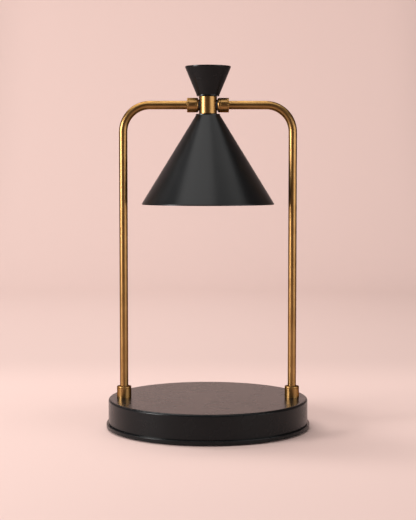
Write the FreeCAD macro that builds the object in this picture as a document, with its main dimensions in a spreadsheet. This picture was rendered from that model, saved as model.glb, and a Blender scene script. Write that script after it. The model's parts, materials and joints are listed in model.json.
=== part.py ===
"""Candle warmer lamp: a weighted round base, a fixed gantry of two posts, and a lamp head that tilts.

Millimetres, +Z up. The origin is the centre of the pad's lower face, X runs from post to post,
and the cord and dimmer side is +Y.
"""
import FreeCAD, Part
import math
import os

import Sketcher
from FreeCAD import Vector

SIZES = {
    # base: pad, tray and shell
    "pad_thickness": "1.5",
    "pad_recess": "0.5",
    "pad_inset": "7.9",
    "pad_gap": "0.3",
    "flange_reach": "1.9",
    "flange_thickness": "3.6",
    "flange_edge": "0.6",
    "tray_floor": "2.1",
    "reveal_height": "1",
    "reveal_depth": "0.6",
    "spigot_gap": "0.2",
    "spigot_wall": "2",
    "spigot_height": "3",
    "shell_radius": "90",
    "shell_height": "21.1",
    "shell_wall": "1.2",
    "shell_edge": "2",
    # screws, studs and the iron weight
    "thread_gap": "0.05",
    "screw_radius": "2",
    "screw_head_radius": "4",
    "screw_head_height": "1.8",
    "screw_hole_gap": "0.2",
    "screw_drive_radius": "1.2",
    "screw_drive_depth": "1",
    "stud_radius": "4",
    "stud_inset": "22",
    "stud_count": "4",
    "tray_screw_length": "12",
    "weight_radius": "50",
    "weight_edge": "1",
    "weight_screw_inset": "8",
    "weight_screw_count": "3",
    "weight_screw_length": "8",
    # dimmer board
    "board_width": "42",
    "board_thickness": "1.6",
    "board_inset": "4",
    "board_stand": "3",
    "board_headroom": "8.8",
    "spacer_radius": "2.5",
    "board_screw_radius": "1.5",
    "board_screw_head_radius": "2.5",
    "board_screw_head_height": "1.6",
    "board_screw_bite": "5",
    "terminal_length": "16",
    "terminal_depth": "9",
    "terminal_height": "7.4",
    "terminal_inset": "3",
    "terminal_hole_radius": "1.7",
    "terminal_hole_depth": "5",
    "terminal_pitch": "5",
    "switch_width": "10",
    "switch_depth": "4.4",
    "switch_height": "7",
    "switch_edge": "0.5",
    "capacitor_width": "13",
    "capacitor_depth": "5",
    "capacitor_height": "7.6",
    "capacitor_edge": "0.8",
    "choke_radius": "4.6",
    "choke_wire_radius": "2.2",
    "part_offset": "9",
    "part_gap": "1",
    # cord gland
    "gland_flange_radius": "7",
    "gland_flange_thickness": "2.4",
    "gland_nose_radius": "5",
    "gland_nose_length": "7",
    "gland_stem_radius": "5.5",
    "gland_stem_length": "9",
    "gland_edge": "0.8",
    "cord_bore_radius": "3.2",
    "seat_depth": "0.4",
    "seat_gap": "0.6",
    "boss_radius": "10",
    "boss_depth": "2",
    "notch_gap": "0.3",
    "cut_margin": "1",
    "wall_nut_across": "14",
    "wall_nut_thickness": "3",
    "hole_gap": "0.15",
    # dimmer control
    "dimmer_angle": "60",
    "dimmer_can_radius": "8",
    "dimmer_can_length": "8",
    "dimmer_can_wall": "1",
    "dimmer_bush_radius": "4",
    "dimmer_bush_reach": "2.6",
    "dimmer_nut_across": "10",
    "dimmer_nut_thickness": "1.8",
    "dimmer_shaft_radius": "3",
    "dimmer_shaft_reach": "9.5",
    "wiper_radius": "6",
    "wiper_thickness": "2",
    "running_gap": "0.1",
    "knob_radius": "7.5",
    "knob_length": "12",
    "knob_gap": "1",
    "knob_edge": "0.8",
    "knob_recess_gap": "0.5",
    "knob_bush_gap": "1.8",
    "knob_mark_width": "1",
    "knob_mark_depth": "0.5",
    # posts and arms
    "post_inset": "14",
    "tube_radius": "3.75",
    "tube_wall": "1",
    "bend_radius": "24",
    "swivel_height": "290.1",
    "collar_radius": "6.5",
    "collar_height": "10.4",
    "collar_chamfer": "0.8",
    "collar_seat_depth": "0.3",
    "collar_seat_gap": "0.1",
    "collar_shoulder": "4",
    "post_nipple_radius": "3.95",
    "nipple_bore_radius": "2.5",
    "nipple_tail": "3",
    "post_nut_across": "13",
    "post_nut_thickness": "4",
    "post_washer_radius": "8",
    "post_washer_thickness": "1.2",
    # swivels
    "swivel_collar_radius": "6.5",
    "swivel_collar_length": "10.15",
    "swivel_collar_round": "1.5",
    "swivel_web": "2.2",
    "swivel_wall": "1.45",
    "bushing_length": "4.5",
    "spring_thickness": "0.8",
    "spring_rim": "0.3",
    "swivel_pin_gap": "0.15",
    "pin_end_gap": "0.3",
    "swivel_pin_radius": "3.5",
    "swivel_pin_bore": "2.2",
    "swivel_flange_reach": "0.4",
    "swivel_flange_thickness": "1.2",
    "tilt_limit": "90",
    "stop_slack": "0.7",
    "stop_ear_gap": "0.25",
    "stop_screw_radius": "0.8",
    "stop_screw_gap": "0.15",
    "saddle_radius": "4.9",
    "saddle_land": "0.5",
    "face_gap": "0.05",
    # hub, cup and shade
    "hub_radius": "8",
    "hub_height": "16",
    "hub_edge": "0.5",
    "hub_bore_radius": "4",
    "hub_stud_bite": "4",
    "plate_hole_gap": "0.2",
    "cup_foot_radius": "10.2",
    "cup_rim_radius": "20.45",
    "cup_height": "26.4",
    "cup_wall": "0.8",
    "cup_land": "1",
    "finial_washer_radius": "7",
    "finial_washer_thickness": "1",
    "finial_radius": "5",
    "finial_height": "8",
    "finial_dome": "2.5",
    "stud_reach": "4.5",
    "shade_neck_radius": "10.9",
    "shade_rim_radius": "59.4",
    "shade_height": "80.8",
    "shade_wall": "0.8",
    "shade_land": "1",
    # lamp holder hung in the shade
    "shade_washer_radius": "8.5",
    "shade_washer_thickness": "1",
    "strap_thickness": "1.2",
    "strap_width": "9",
    "strap_gap": "0.8",
    "strap_drop": "7.6",
    "nipple_tip": "0.3",
    "holder_screw_radius": "1.5",
    "holder_screw_length": "7",
    "holder_screw_head_radius": "2.2",
    "holder_screw_head_height": "1.5",
    "holder_screw_cover": "2.2",
    "holder_height": "18",
    "holder_edge": "0.5",
    "holder_wire_radius": "2",
    "holder_wire_depth": "6.5",
    # twist-lock lamp
    "pin_ring": "5",
    "pin_neck_radius": "1.5",
    "pin_rise": "0.4",
    "pin_head_radius": "2.5",
    "pin_head_length": "3",
    "pin_gap": "0.25",
    "ledge_thickness": "3",
    "twist_angle": "22",
    "contact_gap": "0.8",
    "contact_length": "1",
    "lamp_shoulder_radius": "11.5",
    "lamp_neck_radius": "9.5",
    "lamp_base_length": "16",
    "lamp_socket_depth": "3",
    "reflector_radius": "25",
    "reflector_length": "30",
    "reflector_bulge": "42",
    "reflector_wall": "1.2",
    "reflector_rim": "2.5",
    "glass_thickness": "1.6",
    "capsule_radius": "4.5",
    "capsule_length": "17",
    # leads that the posts and the head hold
    "lead_radius": "1.4",
    "lead_bend": "8",
    "head_lead_bend": "3.4",
    "lead_run_in": "12",
    "lead_joint": "10",
}

doc = FreeCAD.newDocument("candle_warmer_lamp")
sheet = doc.addObject("Spreadsheet::Sheet", "sizes")
for row, (alias, number) in enumerate(SIZES.items(), 1):
    sheet.set(f"A{row}", alias)
    sheet.set(f"B{row}", number)
    sheet.setAlias(f"B{row}", alias)
doc.recompute()


class Term:
    """A size as the text of a sheet expression, so that arithmetic on sizes stays bound to the sheet."""

    def __init__(self, text):
        self.text = str(text)

    def __str__(self):
        return self.text

    def __add__(self, other):
        return Term(f"({self} + {other})")

    def __radd__(self, other):
        return Term(f"({other} + {self})")

    def __sub__(self, other):
        return Term(f"({self} - {other})")

    def __rsub__(self, other):
        return Term(f"({other} - {self})")

    def __mul__(self, other):
        return Term(f"({self} * {other})")

    def __rmul__(self, other):
        return Term(f"({other} * {self})")

    def __truediv__(self, other):
        return Term(f"({self} / {other})")

    def __neg__(self):
        return Term(f"(0 - {self})")


class Cells:
    """The sheet's sizes as terms, by alias."""

    def __getattr__(self, alias):
        return Term(f"sizes.{alias}")


size = Cells()
parts = []


def root(term):
    return Term(f"sqrt({term})")


def cosine(angle):
    return Term(f"cos({angle})")


def sine(angle):
    return Term(f"sin({angle})")


def arcsine(ratio):
    """Angle in degrees, as a plain number."""
    return Term(f"(asin({ratio}) / 1 deg)")


def value(term):
    """A term's number, for a sketch's first drawing and for finding edges."""
    return float(sheet.evalExpression(str(term)))


# what comes in pairs and what stands at a square's corners
pair = 2
corner_count = 4
corner_turn = 45

# directions on the plan: the cord leaves at the rear
rear = 90

# where things are, from the floor up
flange_radius = size.shell_radius + size.flange_reach
pad_radius = flange_radius - size.pad_inset
stud_ring = size.shell_radius - size.stud_inset
weight_screw_ring = size.weight_radius - size.weight_screw_inset
tray_bottom = size.pad_thickness - size.pad_recess
floor_top = size.pad_thickness + size.tray_floor
flange_top = tray_bottom + size.flange_thickness
shell_bottom = flange_top + size.reveal_height
shell_top = shell_bottom + size.shell_height
ceiling = shell_top - size.shell_wall
side_axis = shell_bottom + size.shell_height / 2
board_top = ceiling - size.board_headroom
board_bottom = board_top - size.board_thickness
weight_top = board_bottom - size.board_stand
shell_inner = size.shell_radius - size.shell_wall
seat_plane = size.shell_radius - size.seat_depth
boss_plane = shell_inner - size.boss_depth
post = size.shell_radius - size.post_inset
collar_seat = shell_top - size.collar_seat_depth
collar_top = shell_top + size.collar_height
tube_foot = collar_seat + size.collar_shoulder
tube_bore = size.tube_radius - size.tube_wall
hub_top = size.swivel_height + size.hub_height / 2
hub_bottom = size.swivel_height - size.hub_height / 2
saddle_face = size.hub_radius + size.saddle_land
collar_inner_end = saddle_face + size.face_gap
collar_outer_end = collar_inner_end + size.swivel_collar_length
web_face = collar_inner_end + size.swivel_web
cavity_radius = size.swivel_collar_radius - size.swivel_wall
flange_face = web_face + size.spring_thickness + size.face_gap
flange_back = flange_face + size.swivel_flange_thickness
swivel_flange_radius = size.swivel_pin_radius + size.swivel_flange_reach
stop_screw_x = flange_face + size.stop_screw_radius
stop_screw_start = swivel_flange_radius + size.stop_screw_gap
bushing_face = collar_outer_end - size.bushing_length
pin_end = size.hub_bore_radius + size.pin_end_gap
stud_thread = size.hub_bore_radius - size.thread_gap
cup_floor = hub_top + size.cup_land
finial_seat = cup_floor + size.finial_washer_thickness
shade_mouth = hub_bottom - size.shade_height
shade_underside = hub_bottom - size.shade_land
strap_top = shade_underside - size.shade_washer_thickness
strap_under = strap_top - size.strap_thickness
holder_top = strap_top - size.strap_drop
strap_inner = size.post_nut_across / 2 + size.strap_gap
strap_outer = strap_inner + size.strap_thickness
holder_screw_ring = strap_outer + size.running_gap + size.holder_screw_head_radius
holder_radius = holder_screw_ring + size.holder_screw_cover
holder_bottom = holder_top - size.holder_height
lamp_top = holder_bottom - size.face_gap
reflector_top = lamp_top - size.lamp_base_length
reflector_bottom = reflector_top - size.reflector_length


def node(piece, label):
    """Gives a finished piece its label and lists it for writing."""
    piece.Label = label
    parts.append(piece)
    return piece


def place(piece, across=0, along=0, up=0, yaw=0, pitch=0):
    """Puts a piece at X, Y, Z. A pitch of 90 lays its own +Z outwards, in the direction of yaw."""
    piece.setExpression(
        "Placement",
        f"create(<<placement>>; create(<<vector>>; {across}; {along}; {up}); "
        f"create(<<rotation>>; {yaw}; {pitch}; 0))",
    )


def origin(body, role):
    return next(item for item in body.Origin.OriginFeatures if item.Role == role)


def hold(sketch, kind, geometry, term, *ends):
    """Adds one dimension to a sketch and binds it to its term."""
    index = sketch.addConstraint(Sketcher.Constraint(kind, *ends, *geometry, value(term)))
    sketch.setExpression(f"Constraints[{index}]", str(term))


def hold_point(sketch, geometry, end, across, up):
    """Holds one point of a sketch's geometry at its place."""
    hold(sketch, "DistanceX", (geometry, end), across, -1, 1)
    hold(sketch, "DistanceY", (geometry, end), up, -1, 1)


def new_sketch(body, plane, name):
    sketch = body.newObject("Sketcher::SketchObject", name)
    sketch.AttachmentSupport = [(origin(body, plane), "")]
    sketch.MapMode = "FlatFace"
    return sketch


def arc_between(start, end, radius):
    """Shorter arc from start to end: anticlockwise for a positive radius, clockwise for a negative one."""
    chord = end - start
    middle = (start + end) / 2
    rise = (radius * radius - chord.Length ** 2 / 4) ** 0.5
    left = Vector(-chord.y, chord.x, 0).normalize()
    centre = middle + left * (rise if radius > 0 else -rise)
    first, last = (start, end) if radius > 0 else (end, start)
    begin = Vector(1, 0, 0).getAngle(first - centre) * (1 if first.y >= centre.y else -1)
    finish = Vector(1, 0, 0).getAngle(last - centre) * (1 if last.y >= centre.y else -1)
    circle = Part.Circle(centre, Vector(0, 0, 1), abs(radius))
    return Part.ArcOfCircle(circle, begin, finish)


def outline(sketch, corners):
    """Closed outline through the corners. A corner's third item is the radius of the arc that leaves it."""
    places = [Vector(value(corner[0]), value(corner[1]), 0) for corner in corners]
    sides = []
    for index, corner in enumerate(corners):
        start = places[index]
        end = places[(index + 1) % len(corners)]
        if len(corner) > 2:
            radius = value(corner[2])
            side = sketch.addGeometry(arc_between(start, end, radius), False)
            hold(sketch, "Radius", (side,), Term(f"abs({corner[2]})"))
            ends = (1, 2) if radius > 0 else (2, 1)
        else:
            side = sketch.addGeometry(Part.LineSegment(start, end), False)
            ends = (1, 2)
        sides.append((side, ends))
    for index, (side, ends) in enumerate(sides):
        following, next_ends = sides[(index + 1) % len(sides)]
        sketch.addConstraint(Sketcher.Constraint("Coincident", side, ends[1], following, next_ends[0]))
    for (side, ends), corner in zip(sides, corners):
        hold_point(sketch, side, ends[0], corner[0], corner[1])


def ring_of(body, feature, count):
    """Repeats a body's features round its own Z axis."""
    pattern = body.newObject("PartDesign::PolarPattern", f"{body.Name}_ring")
    pattern.Originals = feature if isinstance(feature, list) else [feature]
    pattern.Axis = (origin(body, "Z_Axis"), [""])
    pattern.Angle = 360
    pattern.setExpression("Occurrences", str(count))
    body.Tip = pattern
    return pattern


def turned(name, corners, ring=0, count=0, axis="V_Axis"):
    """Body turned from an outline of (radius, height) corners, on the Z axis or on a ring round it."""
    body = doc.addObject("PartDesign::Body", name)
    sketch = new_sketch(body, "XZ_Plane", f"{name}_section")
    if ring:
        sketch.setExpression("AttachmentOffset.Base.x", str(ring))
    outline(sketch, corners)
    feature = body.newObject("PartDesign::Revolution", f"{name}_turning")
    feature.Profile = sketch
    feature.ReferenceAxis = (sketch, [axis])
    feature.Angle = 360
    if count:
        body.AllowCompound = True
        ring_of(body, feature, count)
    doc.recompute()
    return body


def slab(name, width, depth, thickness):
    """Rectangular plate centred on the Z axis, standing on the XY plane."""
    body = doc.addObject("PartDesign::Body", name)
    sketch = new_sketch(body, "XY_Plane", f"{name}_outline")
    outline(
        sketch,
        [
            (-(width / 2), -(depth / 2)),
            (width / 2, -(depth / 2)),
            (width / 2, depth / 2),
            (-(width / 2), depth / 2),
        ],
    )
    feature = body.newObject("PartDesign::Pad", f"{name}_pad")
    feature.Profile = sketch
    feature.setExpression("Length", str(thickness))
    doc.recompute()
    return body


def bore(body, name, radius, ring, bottom, depth, count=0, turn=0):
    """Round pocket that runs up from a height, on the axis or on a ring round it."""
    sketch = new_sketch(body, "XY_Plane", f"{name}_circle")
    sketch.setExpression("AttachmentOffset.Base.z", str(bottom))
    circle = sketch.addGeometry(Part.Circle(Vector(value(ring), 0, 0), Vector(0, 0, 1), value(radius)), False)
    hold_point(sketch, circle, 3, ring * cosine(turn) if turn else ring, ring * sine(turn) if turn else 0)
    hold(sketch, "Radius", (circle,), radius)
    pocket = body.newObject("PartDesign::Pocket", name)
    pocket.Profile = sketch
    pocket.Reversed = True
    pocket.setExpression("Length", str(depth))
    doc.recompute()
    if count:
        ring_of_pockets = ring_of(body, pocket, count)
        doc.recompute()
        return ring_of_pockets
    return pocket


def edges_where(shape, test):
    return [f"Edge{index}" for index, edge in enumerate(shape.Edges, 1) if test(edge)]


def is_circle_at(radius, height):
    """Test for a round edge square to the Z axis, of a radius and at a height."""

    def test(edge):
        if not isinstance(edge.Curve, Part.Circle):
            return False
        level = abs(edge.Curve.Center.z - value(height)) < 1e-6
        return level and abs(edge.Curve.Radius - value(radius)) < 1e-6

    return test


def dress(body, kind, amount, *tests):
    """Fillets or chamfers the edges of the body that pass any of the tests."""
    base = body.Tip
    feature = body.newObject(f"PartDesign::{kind}", f"{body.Name}_{kind.lower()}")
    names = edges_where(base.Shape, lambda edge: any(test(edge) for test in tests))
    feature.Base = (base, names)
    feature.setExpression("Radius" if kind == "Fillet" else "Size", str(amount))
    body.Tip = feature
    doc.recompute()
    return feature


def rod(name, radius, start, length, up, yaw=0, pitch=90):
    """Cylinder that starts a distance from the Z axis and runs outwards in the direction of yaw."""
    piece = doc.addObject("Part::Cylinder", name)
    piece.setExpression("Radius", str(radius))
    piece.setExpression("Height", str(length))
    if pitch == 90:
        place(piece, start * cosine(yaw), start * sine(yaw), up, yaw, pitch)
    else:
        place(piece, start, 0, up, yaw, pitch)
    return piece


def joined(kind, name, *pieces):
    """Part boolean of the pieces: Cut and Common take two, and MultiFuse takes any number."""
    piece = doc.addObject(f"Part::{kind}", name)
    if kind == "MultiFuse":
        piece.Shapes = list(pieces)
    else:
        piece.Base, piece.Tool = pieces
    doc.recompute()
    return piece


def hexagon(name, across, thickness, start, up, yaw=0, pitch=0, spin=0):
    """Hexagonal bar of a width across its flats."""
    piece = doc.addObject("Part::Prism", name)
    piece.Polygon = 6
    piece.setExpression("Circumradius", str(across / root(3)))
    piece.setExpression("Height", str(thickness))
    if pitch == 90:
        place(piece, start * cosine(yaw), start * sine(yaw), up, yaw, pitch)
    else:
        place(piece, start, 0, up, yaw + spin, pitch)
    return piece


def lead(name, corners, radius, bends):
    """Round lead along straight runs joined by tangent arcs, one bend radius for each inner corner."""
    spots = [Vector(*(value(item) for item in corner)) for corner in corners]
    edges = []
    start = spots[0]
    for before, corner, after, bend in zip(spots, spots[1:], spots[2:], bends):
        back = (before - corner).normalize()
        ahead = (after - corner).normalize()
        half = back.getAngle(ahead) / 2
        first = corner + back * (value(bend) / math.tan(half))
        last = corner + ahead * (value(bend) / math.tan(half))
        centre = corner + (back + ahead).normalize() * (value(bend) / math.sin(half))
        middle = centre + (corner - centre).normalize() * value(bend)
        edges.append(Part.LineSegment(start, first).toShape())
        edges.append(Part.Arc(first, middle, last).toShape())
        start = last
    edges.append(Part.LineSegment(start, spots[-1]).toShape())
    path = Part.Wire(edges)
    section = Part.Wire([Part.Circle(spots[0], spots[1] - spots[0], value(radius)).toShape()])
    piece = doc.addObject("Part::Feature", name)
    piece.Shape = path.makePipeShell([section], True, False)
    expected = math.pi * value(radius) ** 2 * path.Length
    print(f"{name}: length {path.Length:.1f}, volume {piece.Shape.Volume:.1f} for {expected:.1f}")
    return piece


# pad and tray
pad = node(turned("pad", [
    (0, 0),
    (pad_radius, 0),
    (pad_radius, size.pad_thickness),
    (0, size.pad_thickness),
]), "base_pad")

recess_radius = pad_radius + size.pad_gap
ledge_radius = size.shell_radius - size.reveal_depth
spigot_radius = shell_inner - size.spigot_gap
tray = turned("tray", [
    (0, size.pad_thickness),
    (recess_radius, size.pad_thickness),
    (recess_radius, tray_bottom),
    (flange_radius, tray_bottom),
    (flange_radius, flange_top),
    (ledge_radius, flange_top),
    (ledge_radius, shell_bottom),
    (spigot_radius, shell_bottom),
    (spigot_radius, shell_bottom + size.spigot_height),
    (spigot_radius - size.spigot_wall, shell_bottom + size.spigot_height),
    (spigot_radius - size.spigot_wall, floor_top),
    (0, floor_top),
])
screw_hole = size.screw_radius + size.screw_hole_gap
screw_sink = size.screw_head_radius + size.thread_gap


def screw_seats(name, ring, count):
    """Countersunk holes up through the tray's floor."""
    bore(tray, f"{name}_hole", screw_hole, ring, size.pad_thickness, size.tray_floor, count)
    sink = new_sketch(tray, "XZ_Plane", f"{name}_sink_section")
    sink.setExpression("AttachmentOffset.Base.x", str(ring))
    outline(sink, [
        (0, size.pad_thickness),
        (screw_sink, size.pad_thickness),
        (screw_hole, size.pad_thickness + size.screw_head_height),
        (0, size.pad_thickness + size.screw_head_height),
    ])
    groove = tray.newObject("PartDesign::Groove", f"{name}_sink")
    groove.Profile = sink
    groove.ReferenceAxis = (sink, ["V_Axis"])
    groove.Angle = 360
    doc.recompute()
    ring_of(tray, groove, count).Label = f"{name}_sink_ring"
    doc.recompute()


screw_seats("tray_screw", stud_ring, size.stud_count)
screw_seats("weight_screw", weight_screw_ring, size.weight_screw_count)
dress(
    tray,
    "Fillet",
    size.flange_edge,
    is_circle_at(flange_radius, tray_bottom),
    is_circle_at(flange_radius, flange_top),
)
stud_angle = Term(f"(180 / {size.stud_count})")
place(tray, yaw=stud_angle)


def spigot_notch(name, yaw):
    """Room in the tray's spigot for a boss of the shell and for what stands on it."""
    start = spigot_radius - size.spigot_wall - size.cut_margin
    reach = shell_inner - start
    return rod(f"{name}_notch", size.boss_radius + size.notch_gap, start, reach, side_axis, yaw)


spigot_zone = doc.addObject("Part::Cylinder", "spigot_zone")
spigot_zone.setExpression("Radius", str(size.shell_radius))
spigot_zone.setExpression("Height", str(size.shell_height))
place(spigot_zone, up=shell_bottom)
notches = joined(
    "MultiFuse", "spigot_notches", spigot_notch("gland", rear), spigot_notch("dimmer", size.dimmer_angle)
)
notch_cutter = joined("Common", "notch_cutter", notches, spigot_zone)
node(joined("Cut", "notched_tray", tray, notch_cutter), "base_tray")


def sunk_screws(name, length, ring, count):
    """Countersunk screws with their heads flush under the tray's floor."""
    return turned(name, [
        (0, size.pad_thickness + size.screw_drive_depth),
        (size.screw_drive_radius, size.pad_thickness + size.screw_drive_depth),
        (size.screw_drive_radius, size.pad_thickness),
        (size.screw_head_radius, size.pad_thickness),
        (size.screw_radius, size.pad_thickness + size.screw_head_height),
        (size.screw_radius, size.pad_thickness + length),
        (0, size.pad_thickness + length),
    ], ring, count)


tray_screws = sunk_screws("tray_screws", size.tray_screw_length, stud_ring, size.stud_count)
place(tray_screws, yaw=stud_angle)
node(tray_screws, "tray_screws")
weight_screws = sunk_screws(
    "weight_screws", size.weight_screw_length, weight_screw_ring, size.weight_screw_count
)
place(weight_screws, yaw=stud_angle)
node(weight_screws, "ballast_screws")

# shell, with a post hole and a collar seat on each side and two holes in its wall
shell = turned("shell_turned", [
    (shell_inner, shell_bottom),
    (size.shell_radius, shell_bottom),
    (size.shell_radius, shell_top),
    (0, shell_top),
    (0, ceiling),
    (shell_inner, ceiling),
])
post_hole = size.post_nipple_radius + size.plate_hole_gap
bore(shell, "post_hole", post_hole, post, ceiling, size.shell_wall, pair)
bore(
    shell,
    "collar_seat",
    size.collar_radius + size.collar_seat_gap,
    post,
    collar_seat,
    size.collar_seat_depth,
    pair,
)
dress(shell, "Fillet", size.shell_edge, is_circle_at(size.shell_radius, shell_top))


def wall_boss(name, yaw):
    """Thickening inside the shell's wall, with a flat face for a nut or a control."""
    block = rod(f"{name}_boss_rod", size.boss_radius, boss_plane, size.shell_radius, side_axis, yaw)
    inside = doc.addObject("Part::Cylinder", f"{name}_boss_limit")
    inside.setExpression("Radius", str(size.shell_radius - size.shell_wall / 2))
    inside.setExpression("Height", str(size.shell_height - size.shell_wall / 2))
    place(inside, 0, 0, shell_bottom)
    return joined("Common", f"{name}_boss", block, inside)


def wall_seat(name, radius, hole_radius, yaw):
    """Cutter for a flat seat outside the shell's wall and the hole through it."""
    outside = size.shell_radius + size.cut_margin
    inside = boss_plane - size.cut_margin
    seat = rod(f"{name}_seat", radius + size.seat_gap, seat_plane, outside - seat_plane, side_axis, yaw)
    hole = rod(f"{name}_hole", hole_radius + size.hole_gap, inside, outside - inside, side_axis, yaw)
    return [seat, hole]


with_bosses = joined("MultiFuse", "shell_with_bosses", shell, wall_boss("gland", rear),
                     wall_boss("dimmer", size.dimmer_angle))
cutters = wall_seat("gland", size.gland_flange_radius, size.gland_stem_radius, rear)
dimmer_nut_corner = size.dimmer_nut_across / root(3)
cutters += wall_seat("dimmer", dimmer_nut_corner, size.dimmer_bush_radius, size.dimmer_angle)
holes = joined("MultiFuse", "shell_wall_cutters", *cutters)
node(joined("Cut", "shell", with_bosses, holes), "base_shell")

stud_bore = size.screw_radius + size.thread_gap
stud_depth = floor_top + size.tray_screw_length
studs = turned("studs", [
    (stud_bore, floor_top),
    (size.stud_radius, floor_top),
    (size.stud_radius, ceiling),
    (0, ceiling),
    (0, stud_depth),
    (stud_bore, stud_depth),
], stud_ring, size.stud_count)
place(studs, yaw=stud_angle)
node(studs, "shell_studs")

# iron weight and the dimmer board on it
board_ring = (size.board_width / 2 - size.board_inset) * root(2)
weight = turned("weight", [
    (0, floor_top),
    (size.weight_radius, floor_top),
    (size.weight_radius, weight_top),
    (0, weight_top),
])
weight_hole_depth = size.weight_screw_length - size.tray_floor + size.thread_gap
bore(weight, "weight_threads", stud_bore, weight_screw_ring, floor_top, weight_hole_depth,
     size.weight_screw_count, stud_angle)
board_thread_bottom = weight_top - size.board_screw_bite
board_thread = size.board_screw_radius + size.thread_gap
bore(weight, "board_threads", board_thread, board_ring, board_thread_bottom, size.board_screw_bite,
     corner_count, corner_turn)
dress(
    weight,
    "Chamfer",
    size.weight_edge,
    is_circle_at(size.weight_radius, weight_top),
    is_circle_at(size.weight_radius, floor_top),
)
node(weight, "ballast_weight")

spacers = turned("spacers", [
    (board_thread, weight_top),
    (size.spacer_radius, weight_top),
    (size.spacer_radius, board_bottom),
    (board_thread, board_bottom),
], board_ring, corner_count)
place(spacers, yaw=corner_turn)
node(spacers, "board_spacers")

board = slab("board", size.board_width, size.board_width, size.board_thickness)
bore(
    board, "board_holes", board_thread, board_ring, 0, size.board_thickness, corner_count, corner_turn
)
place(board, up=board_bottom)
node(board, "dimmer_board")

board_screws = turned("board_screws", [
    (0, board_thread_bottom + size.thread_gap),
    (size.board_screw_radius, board_thread_bottom + size.thread_gap),
    (size.board_screw_radius, board_top),
    (size.board_screw_head_radius, board_top),
    (size.board_screw_head_radius, board_top + size.board_screw_head_height),
    (0, board_top + size.board_screw_head_height),
], board_ring, corner_count)
place(board_screws, yaw=corner_turn)
node(board_screws, "board_screws")

# what stands on the board
terminal = slab("terminal", size.terminal_depth, size.terminal_length, size.terminal_height)
for index in (-1, 0, 1):
    spot = new_sketch(terminal, "XY_Plane", f"terminal_screw_circle_{index + 1}")
    spot.setExpression("AttachmentOffset.Base.z", str(size.terminal_height - size.terminal_hole_depth))
    circle = Part.Circle(Vector(0, 0, 0), Vector(0, 0, 1), value(size.terminal_hole_radius))
    ring = spot.addGeometry(circle, False)
    hold_point(spot, ring, 3, 0, index * size.terminal_pitch)
    hold(spot, "Radius", (ring,), size.terminal_hole_radius)
    well = terminal.newObject("PartDesign::Pocket", f"terminal_well_{index + 1}")
    well.Profile = spot
    well.Reversed = True
    well.setExpression("Length", str(size.terminal_hole_depth))
    doc.recompute()
terminal_x = size.board_width / 2 - size.terminal_inset - size.terminal_depth / 2
place(terminal, -terminal_x, 0, board_top)
node(terminal, "terminal_block")


def standing(edge):
    """Test for the upright edges of a block."""
    ends = [vertex.Point for vertex in edge.Vertexes]
    return len(ends) == 2 and abs(ends[0].z - ends[1].z) > 1e-6


chip = slab("chip", size.switch_width, size.switch_depth, size.switch_height)
dress(chip, "Chamfer", size.switch_edge, standing)
choke_reach = size.choke_radius + size.choke_wire_radius
place(chip, size.part_offset, choke_reach + size.part_gap + size.switch_depth / 2, board_top)
node(chip, "power_switch_chip")

capacitor = slab("capacitor", size.capacitor_width, size.capacitor_depth, size.capacitor_height)
dress(capacitor, "Fillet", size.capacitor_edge, standing)
place(capacitor, size.part_offset, -(choke_reach + size.part_gap + size.capacitor_depth / 2), board_top)
node(capacitor, "capacitor")

choke = doc.addObject("Part::Torus", "choke")
choke.setExpression("Radius1", str(size.choke_radius))
choke.setExpression("Radius2", str(size.choke_wire_radius))
place(choke, size.part_offset, 0, board_top + size.choke_wire_radius)
node(choke, "choke")

# cord gland through the rear wall
nose_root = seat_plane + size.gland_flange_thickness
nose_end = nose_root + size.gland_nose_length
stem_end = seat_plane - size.gland_stem_length
gland = turned("gland", [
    (size.cord_bore_radius, stem_end),
    (size.gland_stem_radius, stem_end),
    (size.gland_stem_radius, seat_plane),
    (size.gland_flange_radius, seat_plane),
    (size.gland_flange_radius, nose_root),
    (size.gland_nose_radius, nose_root),
    (size.gland_nose_radius, nose_end),
    (size.cord_bore_radius, nose_end),
])
dress(
    gland,
    "Fillet",
    size.gland_edge,
    is_circle_at(size.gland_flange_radius, nose_root),
    is_circle_at(size.gland_nose_radius, nose_end),
)
place(gland, up=side_axis, yaw=rear, pitch=90)
node(gland, "cord_gland")

nut_start = boss_plane - size.wall_nut_thickness
gland_nut = joined(
    "Cut",
    "gland_nut",
    hexagon("gland_nut_bar", size.wall_nut_across, size.wall_nut_thickness, nut_start, side_axis, rear, 90),
    rod("gland_nut_bore", size.gland_stem_radius + size.thread_gap, nut_start, size.wall_nut_thickness,
        side_axis, rear),
)
node(gland_nut, "gland_nut")

# dimmer control through the wall beside the gland
can_back = boss_plane - size.dimmer_can_length
can_inside = size.dimmer_can_radius - size.dimmer_can_wall
bush_end = seat_plane + size.dimmer_bush_reach
shaft_hole = size.dimmer_shaft_radius + size.running_gap
control = turned("control", [
    (0, can_back),
    (size.dimmer_can_radius, can_back),
    (size.dimmer_can_radius, boss_plane),
    (size.dimmer_bush_radius, boss_plane),
    (size.dimmer_bush_radius, bush_end),
    (shaft_hole, bush_end),
    (shaft_hole, boss_plane - size.dimmer_can_wall),
    (can_inside, boss_plane - size.dimmer_can_wall),
    (can_inside, can_back + size.dimmer_can_wall),
    (0, can_back + size.dimmer_can_wall),
])
place(control, up=side_axis, yaw=size.dimmer_angle, pitch=90)
node(control, "dimmer_body")

dimmer_nut = joined(
    "Cut",
    "dimmer_nut",
    hexagon("dimmer_nut_bar", size.dimmer_nut_across, size.dimmer_nut_thickness, seat_plane, side_axis,
            size.dimmer_angle, 90),
    rod("dimmer_nut_bore", size.dimmer_bush_radius + size.thread_gap, seat_plane, size.dimmer_nut_thickness,
        side_axis, size.dimmer_angle),
)
node(dimmer_nut, "dimmer_nut")

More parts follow.
